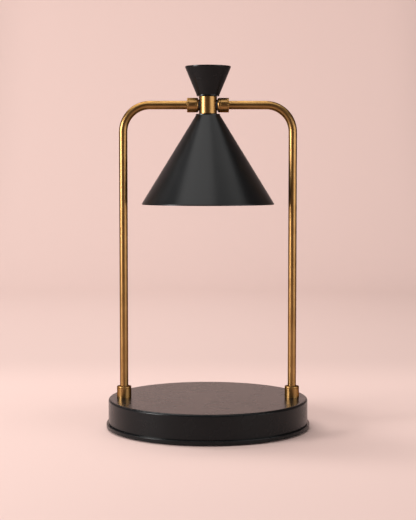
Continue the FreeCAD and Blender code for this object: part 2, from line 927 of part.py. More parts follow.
shaft_end = seat_plane + size.dimmer_shaft_reach
wiper_front = boss_plane - size.dimmer_can_wall - size.running_gap
wiper_back = wiper_front - size.wiper_thickness
shaft = turned("shaft", [
    (0, wiper_back),
    (size.wiper_radius, wiper_back),
    (size.wiper_radius, wiper_front),
    (size.dimmer_shaft_radius, wiper_front),
    (size.dimmer_shaft_radius, shaft_end),
    (0, shaft_end),
])
place(shaft, up=side_axis, yaw=size.dimmer_angle, pitch=90)
node(shaft, "dimmer_shaft")

knob_start = size.shell_radius + size.knob_gap
knob_end = knob_start + size.knob_length
knob_recess_end = bush_end + size.knob_bush_gap
knob_recess_radius = dimmer_nut_corner + size.knob_recess_gap
knob = turned("knob_turned", [
    (0, shaft_end),
    (size.dimmer_shaft_radius, shaft_end),
    (size.dimmer_shaft_radius, knob_recess_end),
    (knob_recess_radius, knob_recess_end),
    (knob_recess_radius, knob_start),
    (size.knob_radius, knob_start),
    (size.knob_radius, knob_end),
    (0, knob_end),
])
dress(knob, "Fillet", size.knob_edge, is_circle_at(size.knob_radius, knob_end))
mark = doc.addObject("Part::Box", "knob_mark")
mark.setExpression("Length", str(size.knob_radius))
mark.setExpression("Width", str(size.knob_mark_width))
mark.setExpression("Height", str(size.knob_mark_depth))
place(mark, -size.knob_radius, -(size.knob_mark_width / 2), knob_end - size.knob_mark_depth)
marked_knob = joined("Cut", "knob", knob, mark)
place(marked_knob, up=side_axis, yaw=size.dimmer_angle, pitch=90)
node(marked_knob, "dimmer_knob")

# what holds the posts to the shell
nipple_end = ceiling - size.post_washer_thickness - size.post_nut_thickness - size.nipple_tail
post_nipples = turned("post_nipples", [
    (size.nipple_bore_radius, nipple_end),
    (size.post_nipple_radius, nipple_end),
    (size.post_nipple_radius, tube_foot),
    (size.nipple_bore_radius, tube_foot),
], post, pair)
node(post_nipples, "post_nipples")

washer_bottom = ceiling - size.post_washer_thickness
post_washers = turned("post_washers", [
    (post_hole, washer_bottom),
    (size.post_washer_radius, washer_bottom),
    (size.post_washer_radius, ceiling),
    (post_hole, ceiling),
], post, pair)
node(post_washers, "post_washers")

nut_bottom = washer_bottom - size.post_nut_thickness
nut_hole = size.post_nipple_radius + size.thread_gap
nuts = []
for side in (-1, 1):
    word = "left" if side < 0 else "right"
    bar = hexagon(
        f"post_nut_bar_{word}", size.post_nut_across, size.post_nut_thickness, side * post, nut_bottom
    )
    hole = rod(f"post_nut_hole_{word}", nut_hole, side * post, size.post_nut_thickness, nut_bottom, pitch=0)
    nuts.append(joined("Cut", f"post_nut_{word}", bar, hole))
node(joined("MultiFuse", "post_nuts", *nuts), "post_nuts")


def base_collar(word, side):
    """Collar that stands in its seat on the shell and takes the nipple below and the tube above."""
    tube_hole = size.tube_radius + size.thread_gap
    collar = turned(f"base_collar_{word}", [
        (nut_hole, collar_seat),
        (size.collar_radius, collar_seat),
        (size.collar_radius, collar_top),
        (tube_hole, collar_top),
        (tube_hole, tube_foot),
        (nut_hole, tube_foot),
    ])
    dress(collar, "Chamfer", size.collar_chamfer, is_circle_at(size.collar_radius, collar_top))
    place(collar, side * post)
    return node(collar, f"base_collar_{word}")


def arm_tube(word, yaw):
    """Bent tube from the foot of a post to its swivel."""
    tube = doc.addObject("PartDesign::Body", f"arm_tube_{word}")
    path = new_sketch(tube, "XZ_Plane", f"arm_path_{word}")
    centre_x = post - size.bend_radius
    centre_z = size.swivel_height - size.bend_radius
    centre = Vector(value(centre_x), value(centre_z), 0)
    bend = value(size.bend_radius)
    foot = Vector(value(post), value(tube_foot), 0)
    start = Vector(value(post), centre.y, 0)
    end = Vector(centre.x, value(size.swivel_height), 0)
    tip = Vector(value(bushing_face), end.y, 0)
    upright = path.addGeometry(Part.LineSegment(foot, start), False)
    circle = Part.Circle(centre, Vector(0, 0, 1), bend)
    elbow = path.addGeometry(Part.ArcOfCircle(circle, 0, math.pi / 2), False)
    level = path.addGeometry(Part.LineSegment(end, tip), False)
    path.addConstraint(Sketcher.Constraint("Tangent", upright, 2, elbow, 1))
    path.addConstraint(Sketcher.Constraint("Tangent", elbow, 2, level, 1))
    path.addConstraint(Sketcher.Constraint("Vertical", upright))
    path.addConstraint(Sketcher.Constraint("Horizontal", level))
    hold_point(path, upright, 1, post, tube_foot)
    hold(path, "Radius", (elbow,), size.bend_radius)
    hold_point(path, level, 2, bushing_face, size.swivel_height)
    section = new_sketch(tube, "XY_Plane", f"arm_section_{word}")
    section.setExpression("AttachmentOffset.Base.x", str(post))
    section.setExpression("AttachmentOffset.Base.z", str(tube_foot))
    for radius in (size.tube_radius, tube_bore):
        ring = section.addGeometry(Part.Circle(Vector(0, 0, 0), Vector(0, 0, 1), value(radius)), False)
        section.addConstraint(Sketcher.Constraint("Coincident", -1, 1, ring, 3))
        hold(section, "Radius", (ring,), radius)
    pipe = tube.newObject("PartDesign::AdditivePipe", f"arm_pipe_{word}")
    pipe.Profile = section
    pipe.Spine = path
    place(tube, yaw=yaw)
    return node(tube, f"arm_tube_{word}")


def swivel_collar(word, yaw):
    """Cup at the arm's end: its web carries the swivel pin, and its open end takes the bushing."""
    pin_hole = size.swivel_pin_radius + size.swivel_pin_gap
    collar = turned(f"swivel_cup_{word}", [
        (pin_hole, collar_inner_end),
        (size.swivel_collar_radius - size.swivel_collar_round, collar_inner_end, size.swivel_collar_round),
        (size.swivel_collar_radius, collar_inner_end + size.swivel_collar_round),
        (size.swivel_collar_radius, collar_outer_end - size.collar_chamfer),
        (size.swivel_collar_radius - size.collar_chamfer, collar_outer_end),
        (cavity_radius, collar_outer_end),
        (cavity_radius, web_face),
        (pin_hole, web_face),
    ])
    place(collar, up=size.swivel_height, yaw=yaw, pitch=90)
    if word == "right":
        return node(collar, "swivel_collar_right")
    hole = doc.addObject("Part::Cylinder", "stop_screw_hole")
    hole.setExpression("Radius", str(size.stop_screw_radius + size.thread_gap))
    hole.setExpression("Height", str(size.swivel_collar_radius))
    place(hole, -stop_screw_x, 0, size.swivel_height, rear, 90)
    return node(joined("Cut", "swivel_collar_left", collar, hole), "swivel_collar_left")


def arm_bushing(word, yaw):
    """Bush that fills the collar's open end round the tube."""
    tube_hole = size.tube_radius + size.thread_gap
    bushing = turned(f"arm_bushing_{word}", [
        (tube_hole, bushing_face),
        (cavity_radius, bushing_face),
        (cavity_radius, collar_outer_end),
        (tube_hole, collar_outer_end),
    ])
    place(bushing, up=size.swivel_height, yaw=yaw, pitch=90)
    return node(bushing, f"arm_bushing_{word}")


stop_half_angle = arcsine(size.stop_screw_radius / stop_screw_start)
stop_ear_angle = 360 - 2 * (size.tilt_limit + stop_half_angle + size.stop_slack)


def swivel_pin(word, yaw, ear_side):
    """Hollow pin that screws into the hub. Its flange has an ear that meets the stop screw."""
    pin = turned(f"swivel_pin_{word}", [
        (size.swivel_pin_bore, pin_end),
        (size.swivel_pin_radius, pin_end),
        (size.swivel_pin_radius, flange_face),
        (swivel_flange_radius, flange_face),
        (swivel_flange_radius, flange_back),
        (size.swivel_pin_bore, flange_back),
    ])
    section = new_sketch(pin, "YZ_Plane", f"ear_section_{word}")
    inner = ear_side * (swivel_flange_radius - size.running_gap)
    outer = ear_side * (cavity_radius - size.stop_ear_gap)
    corners = [(inner, flange_face), (outer, flange_face), (outer, flange_back), (inner, flange_back)]
    outline(section, corners if ear_side > 0 else corners[::-1])
    ear = pin.newObject("PartDesign::Revolution", f"stop_ear_{word}")
    ear.Profile = section
    ear.ReferenceAxis = (section, ["V_Axis"])
    ear.Midplane = True
    ear.setExpression("Angle", str(stop_ear_angle))
    place(pin, up=size.swivel_height, yaw=yaw, pitch=90)
    return node(pin, f"swivel_pin_{word}")


for word, side, yaw in (("left", -1, 180), ("right", 1, 0)):
    base_collar(word, side)
    arm_tube(word, yaw)
    swivel_collar(word, yaw)
    arm_bushing(word, yaw)
    swivel_pin(word, yaw, -side)

# dished springs between the collars' webs and the pins' flanges
spring_bore = size.swivel_pin_radius + size.swivel_pin_gap
springs = turned("springs", [
    (web_face, spring_bore),
    (web_face + size.spring_thickness, spring_bore),
    (web_face + size.spring_thickness, cavity_radius - size.spring_rim),
    (web_face, cavity_radius - size.spring_rim),
], axis="H_Axis")
ring_of(springs, springs.Tip, pair)
springs.AllowCompound = True
place(springs, up=size.swivel_height)
node(springs, "swivel_springs")

stop_screw = doc.addObject("Part::Cylinder", "stop_screw")
stop_screw.setExpression("Radius", str(size.stop_screw_radius))
stop_screw.setExpression("Height", str(size.swivel_collar_radius - stop_screw_start))
place(stop_screw, -stop_screw_x, stop_screw_start, size.swivel_height, rear, 90)
node(stop_screw, "swivel_stop_screw")

# saddles fit the hub's round side and give the collars a flat face
saddle_rod = rod("saddle_rod", size.saddle_radius, -saddle_face, saddle_face * 2, size.swivel_height)
saddle_hub = doc.addObject("Part::Cylinder", "saddle_hub")
saddle_hub.setExpression("Radius", str(size.hub_radius + size.face_gap))
saddle_hub.setExpression("Height", str(size.hub_height))
place(saddle_hub, up=hub_bottom)
pin_clearance = size.swivel_pin_radius + size.face_gap
saddle_pin = rod("saddle_pin", pin_clearance, -saddle_face, saddle_face * 2, size.swivel_height)
saddle_cutter = joined("MultiFuse", "saddle_cutter", saddle_hub, saddle_pin)
node(joined("Cut", "saddles", saddle_rod, saddle_cutter), "swivel_saddles")

# hub, with a threaded bore from top to bottom and one through its sides
hub_body = turned("hub_turned", [
    (size.hub_bore_radius, hub_bottom),
    (size.hub_radius, hub_bottom),
    (size.hub_radius, hub_top),
    (size.hub_bore_radius, hub_top),
])
dress(
    hub_body,
    "Chamfer",
    size.hub_edge,
    is_circle_at(size.hub_radius, hub_top),
    is_circle_at(size.hub_radius, hub_bottom),
)
side_bore = rod("hub_side_bore", pin_clearance, -size.hub_radius, size.hub_radius * 2, size.swivel_height)
node(joined("Cut", "hub", hub_body, side_bore), "hub")


def cone_shell(name, hole, neck, neck_radius, mouth, mouth_radius, wall, land):
    """Thin cone with a plate at its neck and a short straight land at each end."""
    way = 1 if value(mouth) > value(neck) else -1
    rise = way * (mouth - neck) - 2 * land
    slope = (mouth_radius - neck_radius) / rise
    skin = wall * root(1 + slope * slope)
    shoulder = neck + way * land
    lip = mouth - way * land
    return turned(name, [
        (hole, neck),
        (neck_radius, neck),
        (neck_radius, shoulder),
        (mouth_radius, lip),
        (mouth_radius, mouth),
        (mouth_radius - skin, mouth),
        (mouth_radius - skin, lip),
        (neck_radius - skin, shoulder),
        (hole, shoulder),
    ])


plate_hole = size.hub_bore_radius + size.plate_hole_gap
cup_top = hub_top + size.cup_height
cup = cone_shell(
    "cup", plate_hole, hub_top, size.cup_foot_radius, cup_top, size.cup_rim_radius, size.cup_wall, size.cup_land
)
node(cup, "upper_cup")
shade = cone_shell(
    "shade_cone",
    plate_hole,
    hub_bottom,
    size.shade_neck_radius,
    shade_mouth,
    size.shade_rim_radius,
    size.shade_wall,
    size.shade_land,
)
node(shade, "shade")

stud = turned("stud", [
    (0, hub_top - size.hub_stud_bite),
    (stud_thread, hub_top - size.hub_stud_bite),
    (stud_thread, finial_seat + size.stud_reach),
    (0, finial_seat + size.stud_reach),
])
node(stud, "upper_stud")
finial_washer = turned("finial_washer", [
    (plate_hole, cup_floor),
    (size.finial_washer_radius, cup_floor),
    (size.finial_washer_radius, finial_seat),
    (plate_hole, finial_seat),
])
node(finial_washer, "finial_washer")
finial_top = finial_seat + size.finial_height
finial_shoulder = finial_top - size.finial_dome
dome_radius = (size.finial_radius * size.finial_radius / size.finial_dome + size.finial_dome) / 2
finial = turned("finial", [
    (size.hub_bore_radius, finial_seat),
    (size.finial_radius, finial_seat),
    (size.finial_radius, finial_shoulder, dome_radius),
    (0, finial_top),
    (0, finial_seat + size.stud_reach),
    (size.hub_bore_radius, finial_seat + size.stud_reach),
])
node(finial, "finial_nut")

# nipple, washer, strap and nut that hang the lamp holder under the hub
nut_room = strap_under - size.post_nut_thickness
lower_nipple = turned("lower_nipple", [
    (size.nipple_bore_radius, nut_room - size.nipple_tip),
    (stud_thread, nut_room - size.nipple_tip),
    (stud_thread, hub_bottom + size.hub_stud_bite),
    (size.nipple_bore_radius, hub_bottom + size.hub_stud_bite),
])
node(lower_nipple, "lower_nipple")
shade_washer = turned("shade_washer", [
    (plate_hole, strap_top),
    (size.shade_washer_radius, strap_top),
    (size.shade_washer_radius, shade_underside),
    (plate_hole, shade_underside),
])
node(shade_washer, "shade_washer")

foot_end = holder_screw_ring + size.holder_screw_head_radius
foot_top = holder_top + size.strap_thickness
strap = doc.addObject("PartDesign::Body", "strap")
strap_section = new_sketch(strap, "XZ_Plane", "strap_section")
outline(strap_section, [
    (-foot_end, holder_top),
    (-strap_inner, holder_top),
    (-strap_inner, strap_under),
    (strap_inner, strap_under),
    (strap_inner, holder_top),
    (foot_end, holder_top),
    (foot_end, foot_top),
    (strap_outer, foot_top),
    (strap_outer, strap_top),
    (-strap_outer, strap_top),
    (-strap_outer, foot_top),
    (-foot_end, foot_top),
])
strap_pad = strap.newObject("PartDesign::Pad", "strap_pad")
strap_pad.Profile = strap_section
strap_pad.Midplane = True
strap_pad.setExpression("Length", str(size.strap_width))
doc.recompute()
bore(strap, "strap_centre_hole", plate_hole, Term(0), strap_under, size.strap_thickness)
holder_screw_hole = size.holder_screw_radius + size.thread_gap
bore(strap, "strap_foot_holes", holder_screw_hole, holder_screw_ring, holder_top, size.strap_thickness, pair)
node(strap, "holder_strap")

flats_turn = 30
strap_nut_bar = hexagon(
    "strap_nut_bar", size.post_nut_across, size.post_nut_thickness, 0, nut_room, spin=flats_turn
)
strap_nut_hole = rod("strap_nut_hole", size.hub_bore_radius, 0, size.post_nut_thickness, nut_room, pitch=0)
node(joined("Cut", "strap_nut", strap_nut_bar, strap_nut_hole), "strap_nut")

holder_screw_end = foot_top - size.holder_screw_length
strap_screws = turned("strap_screws", [
    (0, holder_screw_end),
    (size.holder_screw_radius, holder_screw_end),
    (size.holder_screw_radius, foot_top),
    (size.holder_screw_head_radius, foot_top),
    (size.holder_screw_head_radius, foot_top + size.holder_screw_head_height),
    (0, foot_top + size.holder_screw_head_height),
], holder_screw_ring, pair)
node(strap_screws, "strap_screws")

# ceramic lamp holder, with two curved slots that lock the lamp's pins
holder = turned("holder", [
    (0, holder_bottom),
    (holder_radius, holder_bottom),
    (holder_radius, holder_top),
    (0, holder_top),
])
dress(
    holder,
    "Chamfer",
    size.holder_edge,
    is_circle_at(holder_radius, holder_bottom),
    is_circle_at(holder_radius, holder_top),
)
head_slot = size.pin_head_radius + size.pin_gap
neck_slot = size.pin_neck_radius + size.pin_gap
ledge_top = holder_bottom + size.ledge_thickness
neck_end = ledge_top + size.pin_rise
head_end = neck_end + size.pin_head_length
chamber_top = head_end + size.contact_gap + size.contact_length
chamber_depth = chamber_top - holder_bottom


def curved_slot(name, half_width, bottom, depth):
    """Cuts a slot round the ring of the pins, from the locked place to the open one."""
    section = new_sketch(holder, "XZ_Plane", f"{name}_section")
    outline(section, [
        (size.pin_ring - half_width, bottom),
        (size.pin_ring + half_width, bottom),
        (size.pin_ring + half_width, bottom + depth),
        (size.pin_ring - half_width, bottom + depth),
    ])
    groove = holder.newObject("PartDesign::Groove", name)
    groove.Profile = section
    groove.ReferenceAxis = (section, ["V_Axis"])
    groove.setExpression("Angle", str(size.twist_angle))
    doc.recompute()
    ring_of(holder, groove, pair).Label = f"{name}_pair"
    doc.recompute()
    bore(holder, f"{name}_locked_end", half_width, size.pin_ring, bottom, depth, pair)


curved_slot("neck_slot", neck_slot, holder_bottom, size.ledge_thickness)
curved_slot("head_slot", head_slot, ledge_top, chamber_top - ledge_top)
bore(holder, "open_end", head_slot, size.pin_ring, holder_bottom, chamber_depth, pair, size.twist_angle)
wire_hole_bottom = holder_top - size.holder_wire_depth
bore(holder, "wire_hole", size.holder_wire_radius, Term(0), wire_hole_bottom, size.holder_wire_depth)
thread_depth = size.holder_screw_length - size.strap_thickness
bore(holder, "holder_threads", holder_screw_hole, holder_screw_ring, holder_screw_end, thread_depth, pair,
     Term(-rear))
place(holder, yaw=rear)
node(holder, "lamp_holder")

# twist-lock lamp, shown locked, with its pins on the Y axis
pins = turned("pins", [
    (0, lamp_top - size.lamp_socket_depth),
    (size.pin_neck_radius, lamp_top - size.lamp_socket_depth),
    (size.pin_neck_radius, neck_end),
    (size.pin_head_radius, neck_end),
    (size.pin_head_radius, head_end),
    (0, head_end),
], size.pin_ring, pair)
place(pins, yaw=rear)
node(pins, "lamp_pins")

contacts = turned("contacts", [
    (0, chamber_top - size.contact_length),
    (size.pin_neck_radius, chamber_top - size.contact_length),
    (size.pin_neck_radius, chamber_top),
    (0, chamber_top),
], size.pin_ring, pair)
place(contacts, yaw=rear)
node(contacts, "holder_contacts")

lamp_base = turned("lamp_base_turned", [
    (0, reflector_top),
    (size.lamp_neck_radius, reflector_top),
    (size.lamp_shoulder_radius, lamp_top),
    (0, lamp_top),
])
pin_socket = size.pin_neck_radius + size.thread_gap
bore(lamp_base, "pin_sockets", pin_socket, size.pin_ring, lamp_top - size.lamp_socket_depth,
     size.lamp_socket_depth, pair)
place(lamp_base, yaw=rear)
node(lamp_base, "lamp_base")

rim_top = reflector_bottom + size.reflector_rim
glass_radius = size.reflector_radius - size.reflector_wall
glass_seat = reflector_bottom + size.glass_thickness
cup_neck = size.lamp_neck_radius - size.reflector_wall
reflector = turned("reflector", [
    (size.capsule_radius + size.running_gap, reflector_top),
    (size.capsule_radius + size.running_gap, reflector_top - size.reflector_wall),
    (cup_neck, reflector_top - size.reflector_wall, -(size.reflector_bulge - size.reflector_wall)),
    (glass_radius - size.reflector_wall, rim_top),
    (glass_radius - size.reflector_wall, glass_seat),
    (glass_radius, glass_seat),
    (glass_radius, reflector_bottom),
    (size.reflector_radius, reflector_bottom),
    (size.reflector_radius, rim_top, size.reflector_bulge),
    (size.lamp_neck_radius, reflector_top),
])
node(reflector, "lamp_reflector")
glass = turned("glass", [
    (0, reflector_bottom),
    (glass_radius - size.face_gap, reflector_bottom),
    (glass_radius - size.face_gap, glass_seat),
    (0, glass_seat),
])
node(glass, "lamp_front_glass")
capsule = turned("capsule", [
    (0, reflector_top - size.capsule_length),
    (size.capsule_radius, reflector_top - size.capsule_length + size.capsule_radius),
    (size.capsule_radius, reflector_top),
    (0, reflector_top),
])
node(capsule, "lamp_capsule")

# leads: up the left post and along its arm, then on from the swivel down to the lamp holder
terminal_face = terminal_x + size.terminal_depth / 2
lead_start_z = board_top + size.terminal_height / 2
lead_low_z = floor_top + size.lead_radius * 2
drop = lead_start_z - lead_low_z
slope_foot = post - size.lead_run_in
slope_top = slope_foot - drop
arm_lead = lead(
    "lamp_lead_arm",
    [
        (-terminal_face, 0, lead_start_z),
        (-slope_top, 0, lead_start_z),
        (-slope_foot, 0, lead_low_z),
        (-post, 0, lead_low_z),
        (-post, 0, size.swivel_height),
        (-size.lead_joint, 0, size.swivel_height),
    ],
    size.lead_radius,
    [size.lead_bend, size.lead_bend, size.lead_bend, size.bend_radius],
)
node(arm_lead, "lamp_lead_arm")
head_lead = lead(
    "lamp_lead_head",
    [
        (-size.lead_joint, 0, size.swivel_height),
        (0, 0, size.swivel_height),
        (0, 0, wire_hole_bottom),
    ],
    size.lead_radius,
    [size.head_lead_bend],
)
node(head_lead, "lamp_lead_head")

doc.recompute()

failed = [
    item.Name
    for item in doc.Objects
    if "Invalid" in item.State or "Error" in item.State
]
for piece in parts:
    if piece.Shape.isNull() or not piece.Shape.isValid():
        failed.append(piece.Label)
if failed:
    raise RuntimeError(f"these did not build: {failed}")
os.makedirs("parts", exist_ok=True)
for piece in parts:
    piece.Shape.exportStep(f"parts/{piece.Label}.step")
print(f"{len(parts)} parts written")
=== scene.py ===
"""Looks of the candle warmer lamp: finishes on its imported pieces, detailed pieces, and a plain studio."""

import json
import logging
import math
from dataclasses import dataclass
from enum import Enum
from typing import Any, Callable, Union

import bmesh
import bpy
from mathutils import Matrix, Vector


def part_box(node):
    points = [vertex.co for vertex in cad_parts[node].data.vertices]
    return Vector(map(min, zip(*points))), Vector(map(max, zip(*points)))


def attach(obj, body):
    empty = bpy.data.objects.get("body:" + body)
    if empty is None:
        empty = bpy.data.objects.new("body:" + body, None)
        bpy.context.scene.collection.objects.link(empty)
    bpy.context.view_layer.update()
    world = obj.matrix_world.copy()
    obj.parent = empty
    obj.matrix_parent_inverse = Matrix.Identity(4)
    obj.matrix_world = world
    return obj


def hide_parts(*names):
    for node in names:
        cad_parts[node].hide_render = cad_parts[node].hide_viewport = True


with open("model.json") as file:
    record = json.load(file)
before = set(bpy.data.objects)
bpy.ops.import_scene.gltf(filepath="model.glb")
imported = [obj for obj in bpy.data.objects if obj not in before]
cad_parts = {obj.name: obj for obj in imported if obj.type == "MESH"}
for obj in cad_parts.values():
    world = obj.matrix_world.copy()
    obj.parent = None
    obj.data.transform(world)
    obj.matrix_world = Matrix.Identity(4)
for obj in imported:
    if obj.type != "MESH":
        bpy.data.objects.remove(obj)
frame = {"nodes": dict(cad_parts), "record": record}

log = logging.getLogger("candle_warmer_lamp")
MM = 0.001

Colour = tuple[float, float, float]
Place = tuple[float, float, float]
Point = tuple[float, float]
Profile = list[Point]


class Grain(Enum):
    """Way in which a brushed metal's scratches run, as the stretch of their pattern."""

    UP = (1.0, 1.0, 0.02)
    ACROSS = (0.02, 1.0, 1.0)


class Wire:
    """Output socket of a node that can stand in a sum."""

    def __init__(self, bench: "Bench", socket: bpy.types.NodeSocket) -> None:
        """Keeps the bench that adds the nodes of a sum, and the socket."""
        self.bench = bench
        self.socket = socket

    def math(self, operation: str, *values: "Value") -> "Wire":
        """Adds a Math node.

        Args:
            operation: Blender's name for the sum.
            values: numbers or wires for its sockets, in order.

        Returns:
            The node's output.
        """
        return self.bench.node("ShaderNodeMath", {"operation": operation}, dict(enumerate(values)))

    def __add__(self, other: "Value") -> "Wire":
        """Sum."""
        return self.math("ADD", self, other)

    def __radd__(self, other: "Value") -> "Wire":
        """Sum with a number on the left."""
        return self.math("ADD", other, self)

    def __sub__(self, other: "Value") -> "Wire":
        """Difference."""
        return self.math("SUBTRACT", self, other)

    def __rsub__(self, other: "Value") -> "Wire":
        """Difference from a number."""
        return self.math("SUBTRACT", other, self)

    def __mul__(self, other: "Value") -> "Wire":
        """Product."""
        return self.math("MULTIPLY", self, other)

    def __rmul__(self, other: "Value") -> "Wire":
        """Product with a number on the left."""
        return self.math("MULTIPLY", other, self)

    def __lt__(self, other: "Value") -> "Wire":
        """1 where this is less than the other, else 0."""
        return self.math("LESS_THAN", self, other)

    def __gt__(self, other: "Value") -> "Wire":
        """1 where this is more than the other, else 0."""
        return self.math("GREATER_THAN", self, other)

    def __abs__(self) -> "Wire":
        """Value without its sign."""
        return self.math("ABSOLUTE", self)

    def root(self) -> "Wire":
        """Square root."""
        return self.math("SQRT", self)

    def least(self, other: "Value") -> "Wire":
        """The smaller of this and the other."""
        return self.math("MINIMUM", self, other)

    def within(self, low: float, high: float) -> "Wire":
        """Rises smoothly from 0 at low to 1 at high.

        Args:
            low: value up to which the result is 0.
            high: value from which it is 1.

        Returns:
            The result.
        """
        return self.bench.node(
            "ShaderNodeMapRange",
            {"clamp": True, "interpolation_type": "SMOOTHSTEP"},
            {"Value": self, "From Min": low, "From Max": high},
        )


Value = Union[float, Wire]


def dimmed(colour: Colour, share: float) -> Colour:
    """The colour times a share, which may be over 1."""
    return tuple(part * share for part in colour)


class Bench:
    """Makes and links the nodes of one material."""

    def __init__(self, name: str) -> None:
        """Starts an empty material.

        Args:
            name: the material's name.
        """
        self.material = bpy.data.materials.new(name)
        self.material.use_nodes = True
        self.tree = self.material.node_tree
        self.tree.nodes.clear()

    def node(
        self, kind: str, settings: dict[str, Any], sockets: dict[Any, Any], output: Any = 0
    ) -> Wire:
        """Adds a node, sets it and links it.

        Args:
            kind: Blender's type of the node.
            settings: the node's own settings, which are set first.
            sockets: a number, colour or wire for each input socket, by name or place.
            output: name or place of the output that is returned.

        Returns:
            The chosen output.
        """
        made = self.tree.nodes.new(kind)
        for key, value in settings.items():
            setattr(made, key, value)
        for key, value in sockets.items():
            if isinstance(value, Wire):
                self.tree.links.new(value.socket, made.inputs[key])
            else:
                made.inputs[key].default_value = value
        return Wire(self, made.outputs[output] if made.outputs else None)

    def spot(self) -> Wire:
        """Place of the shaded point on its piece, in metres."""
        return self.node("ShaderNodeTexCoord", {}, {}, "Object")

    def axis(self, letter: str) -> Wire:
        """One coordinate of the shaded point."""
        return self.node("ShaderNodeSeparateXYZ", {}, {"Vector": self.spot()}, letter)

    def noise(self, cell: float, stretch: Place = (1, 1, 1), detail: float = 3) -> Wire:
        """Cloudy value from 0 to 1.

        Args:
            cell: size of a patch, in metres.
            stretch: how fast the pattern runs along each axis, 1 for round patches.
            detail: how many finer layers lie in it.

        Returns:
            The value.
        """
        scale = tuple(part / cell for part in stretch)
        moved = self.node("ShaderNodeMapping", {}, {"Vector": self.spot(), "Scale": scale}, "Vector")
        sockets = {"Vector": moved, "Scale": 1.0, "Detail": detail}
        return self.node("ShaderNodeTexNoise", {}, sockets, "Fac")

    def mix(self, factor: Value, low: Any, high: Any) -> Wire:
        """Colour between two colours.

        Args:
            factor: 0 for the first colour, 1 for the second.
            low: the first colour, as three numbers or a wire.
            high: the second colour, in the same way.

        Returns:
            The mixed colour.
        """
        low, high = (side if isinstance(side, Wire) else (*side, 1.0) for side in (low, high))
        settings = {"data_type": "RGBA", "clamp_factor": True}
        return self.node("ShaderNodeMix", settings, {0: factor, 6: low, 7: high}, 2)

    def bump(self, height: Value, depth: float, strength: float) -> Wire:
        """Normal for a relief of a depth in metres."""
        sockets = {"Height": height, "Distance": depth, "Strength": strength}
        return self.node("ShaderNodeBump", {}, sockets, "Normal")

    def shade(self, sockets: dict[str, Any]) -> None:
        """Ends the material in a Principled shader with these sockets."""
        shader = self.node("ShaderNodeBsdfPrincipled", {}, sockets, "BSDF")
        self.node("ShaderNodeOutputMaterial", {}, {"Surface": shader})


@dataclass(frozen=True)
class Finish:
    """Base of every finish: a name, and one material for all that it dresses.

    In the finishes, a cell is the size of a pattern's patches, roughening is what the pattern adds to the
    roughness, and shift is the brightness of the second tone as a share of the first.
    """

    name: str

    def build(self, bench: Bench) -> None:
        """Makes the nodes. Each finish has its own."""
        raise NotImplementedError

    def material(self) -> bpy.types.Material:
        """Makes the finish's material once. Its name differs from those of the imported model's materials.

        Returns:
            The material.
        """
        title = f"{self.name}_finish"
        known = bpy.data.materials.get(title)
        if known:
            return known
        bench = Bench(title)
        self.build(bench)
        return bench.material

    def dress(self, *pieces: bpy.types.Object) -> None:
        """Puts the finish on every slot of the pieces.

        Args:
            pieces: the pieces to dress.
        """
        for piece in pieces:
            if not piece.material_slots:
                piece.data.materials.append(None)
            for slot in piece.material_slots:
                slot.material = self.material()


@dataclass(frozen=True)
class AgedBrass(Finish):
    """Brass with an aged lacquer and fine scratches. On a bent tube they turn between bend_x and post_x."""

    bright: Colour = (0.385, 0.22, 0.08)
    dark: Colour = (0.255, 0.138, 0.046)
    edge: Colour = (0.12, 0.07, 0.03)
    tone_range: tuple[float, float] = (0.2, 0.8)
    grain: Grain = Grain.UP
    bend_x: float = 0.0
    post_x: float = 0.0
    scratch_cell: float = 0.35 * MM
    scratch_depth: float = 0.02 * MM
    scratch_strength: float = 0.35
    scratch_share: float = 0.4
    tarnish_cell: float = 14 * MM
    roughness: float = 0.3
    roughening: float = 0.08

    def build(self, bench: Bench) -> None:
        """Scratches along the grain over cloudy tarnish.

        Args:
            bench: the bench that makes the nodes.
        """
        scratches = bench.noise(self.scratch_cell, self.grain.value, detail=4)
        if self.post_x:
            level = bench.noise(self.scratch_cell, Grain.ACROSS.value, detail=4)
            upright = abs(bench.axis("X")).within(self.bend_x, self.post_x)
            scratches = scratches * upright + level * (1 - upright)
        tarnish = bench.noise(self.tarnish_cell, detail=5)
        tone = scratches * self.scratch_share + tarnish * (1 - self.scratch_share)
        bench.shade({
            "Base Color": bench.mix(tone.within(*self.tone_range), self.dark, self.bright),
            "Metallic": 1.0,
            "Specular Tint": (*self.edge, 1.0),
            "Roughness": self.roughness + self.roughening * scratches,
            "Normal": bench.bump(scratches, self.scratch_depth, self.scratch_strength),
        })


@dataclass(frozen=True)
class SatinPaint(Finish):
    """Satin powder coat with a slight peel."""

    colour: Colour = (0.0045, 0.005, 0.0055)
    lighter: float = 1.5
    roughness: float = 0.24
    roughening: float = 0.06
    shine: float = 0.18
    cloud_cell: float = 22 * MM
    peel_cell: float = 0.7 * MM
    peel_depth: float = 0.02 * MM
    peel_strength: float = 0.3

    def coat(self, bench: Bench, colour: Wire, roughness: Wire) -> None:
        """Ends the material with the paint's shine and peel.

        Args:
            bench: the bench that makes the nodes.
            colour: the paint's colour.
            roughness: its roughness.
        """
        peel = bench.noise(self.peel_cell, detail=2)
        bench.shade({
            "Base Color": colour,
            "Roughness": roughness,
            "Specular IOR Level": self.shine,
            "Normal": bench.bump(peel, self.peel_depth, self.peel_strength),
        })

    def build(self, bench: Bench) -> None:
        """Fine peel, and a very slight cloud in the colour and gloss.

        Args:
            bench: the bench that makes the nodes.
        """
        cloud = bench.noise(self.cloud_cell, detail=4)
        colour = bench.mix(cloud, self.colour, dimmed(self.colour, self.lighter))
        self.coat(bench, colour, self.roughness + self.roughening * cloud)


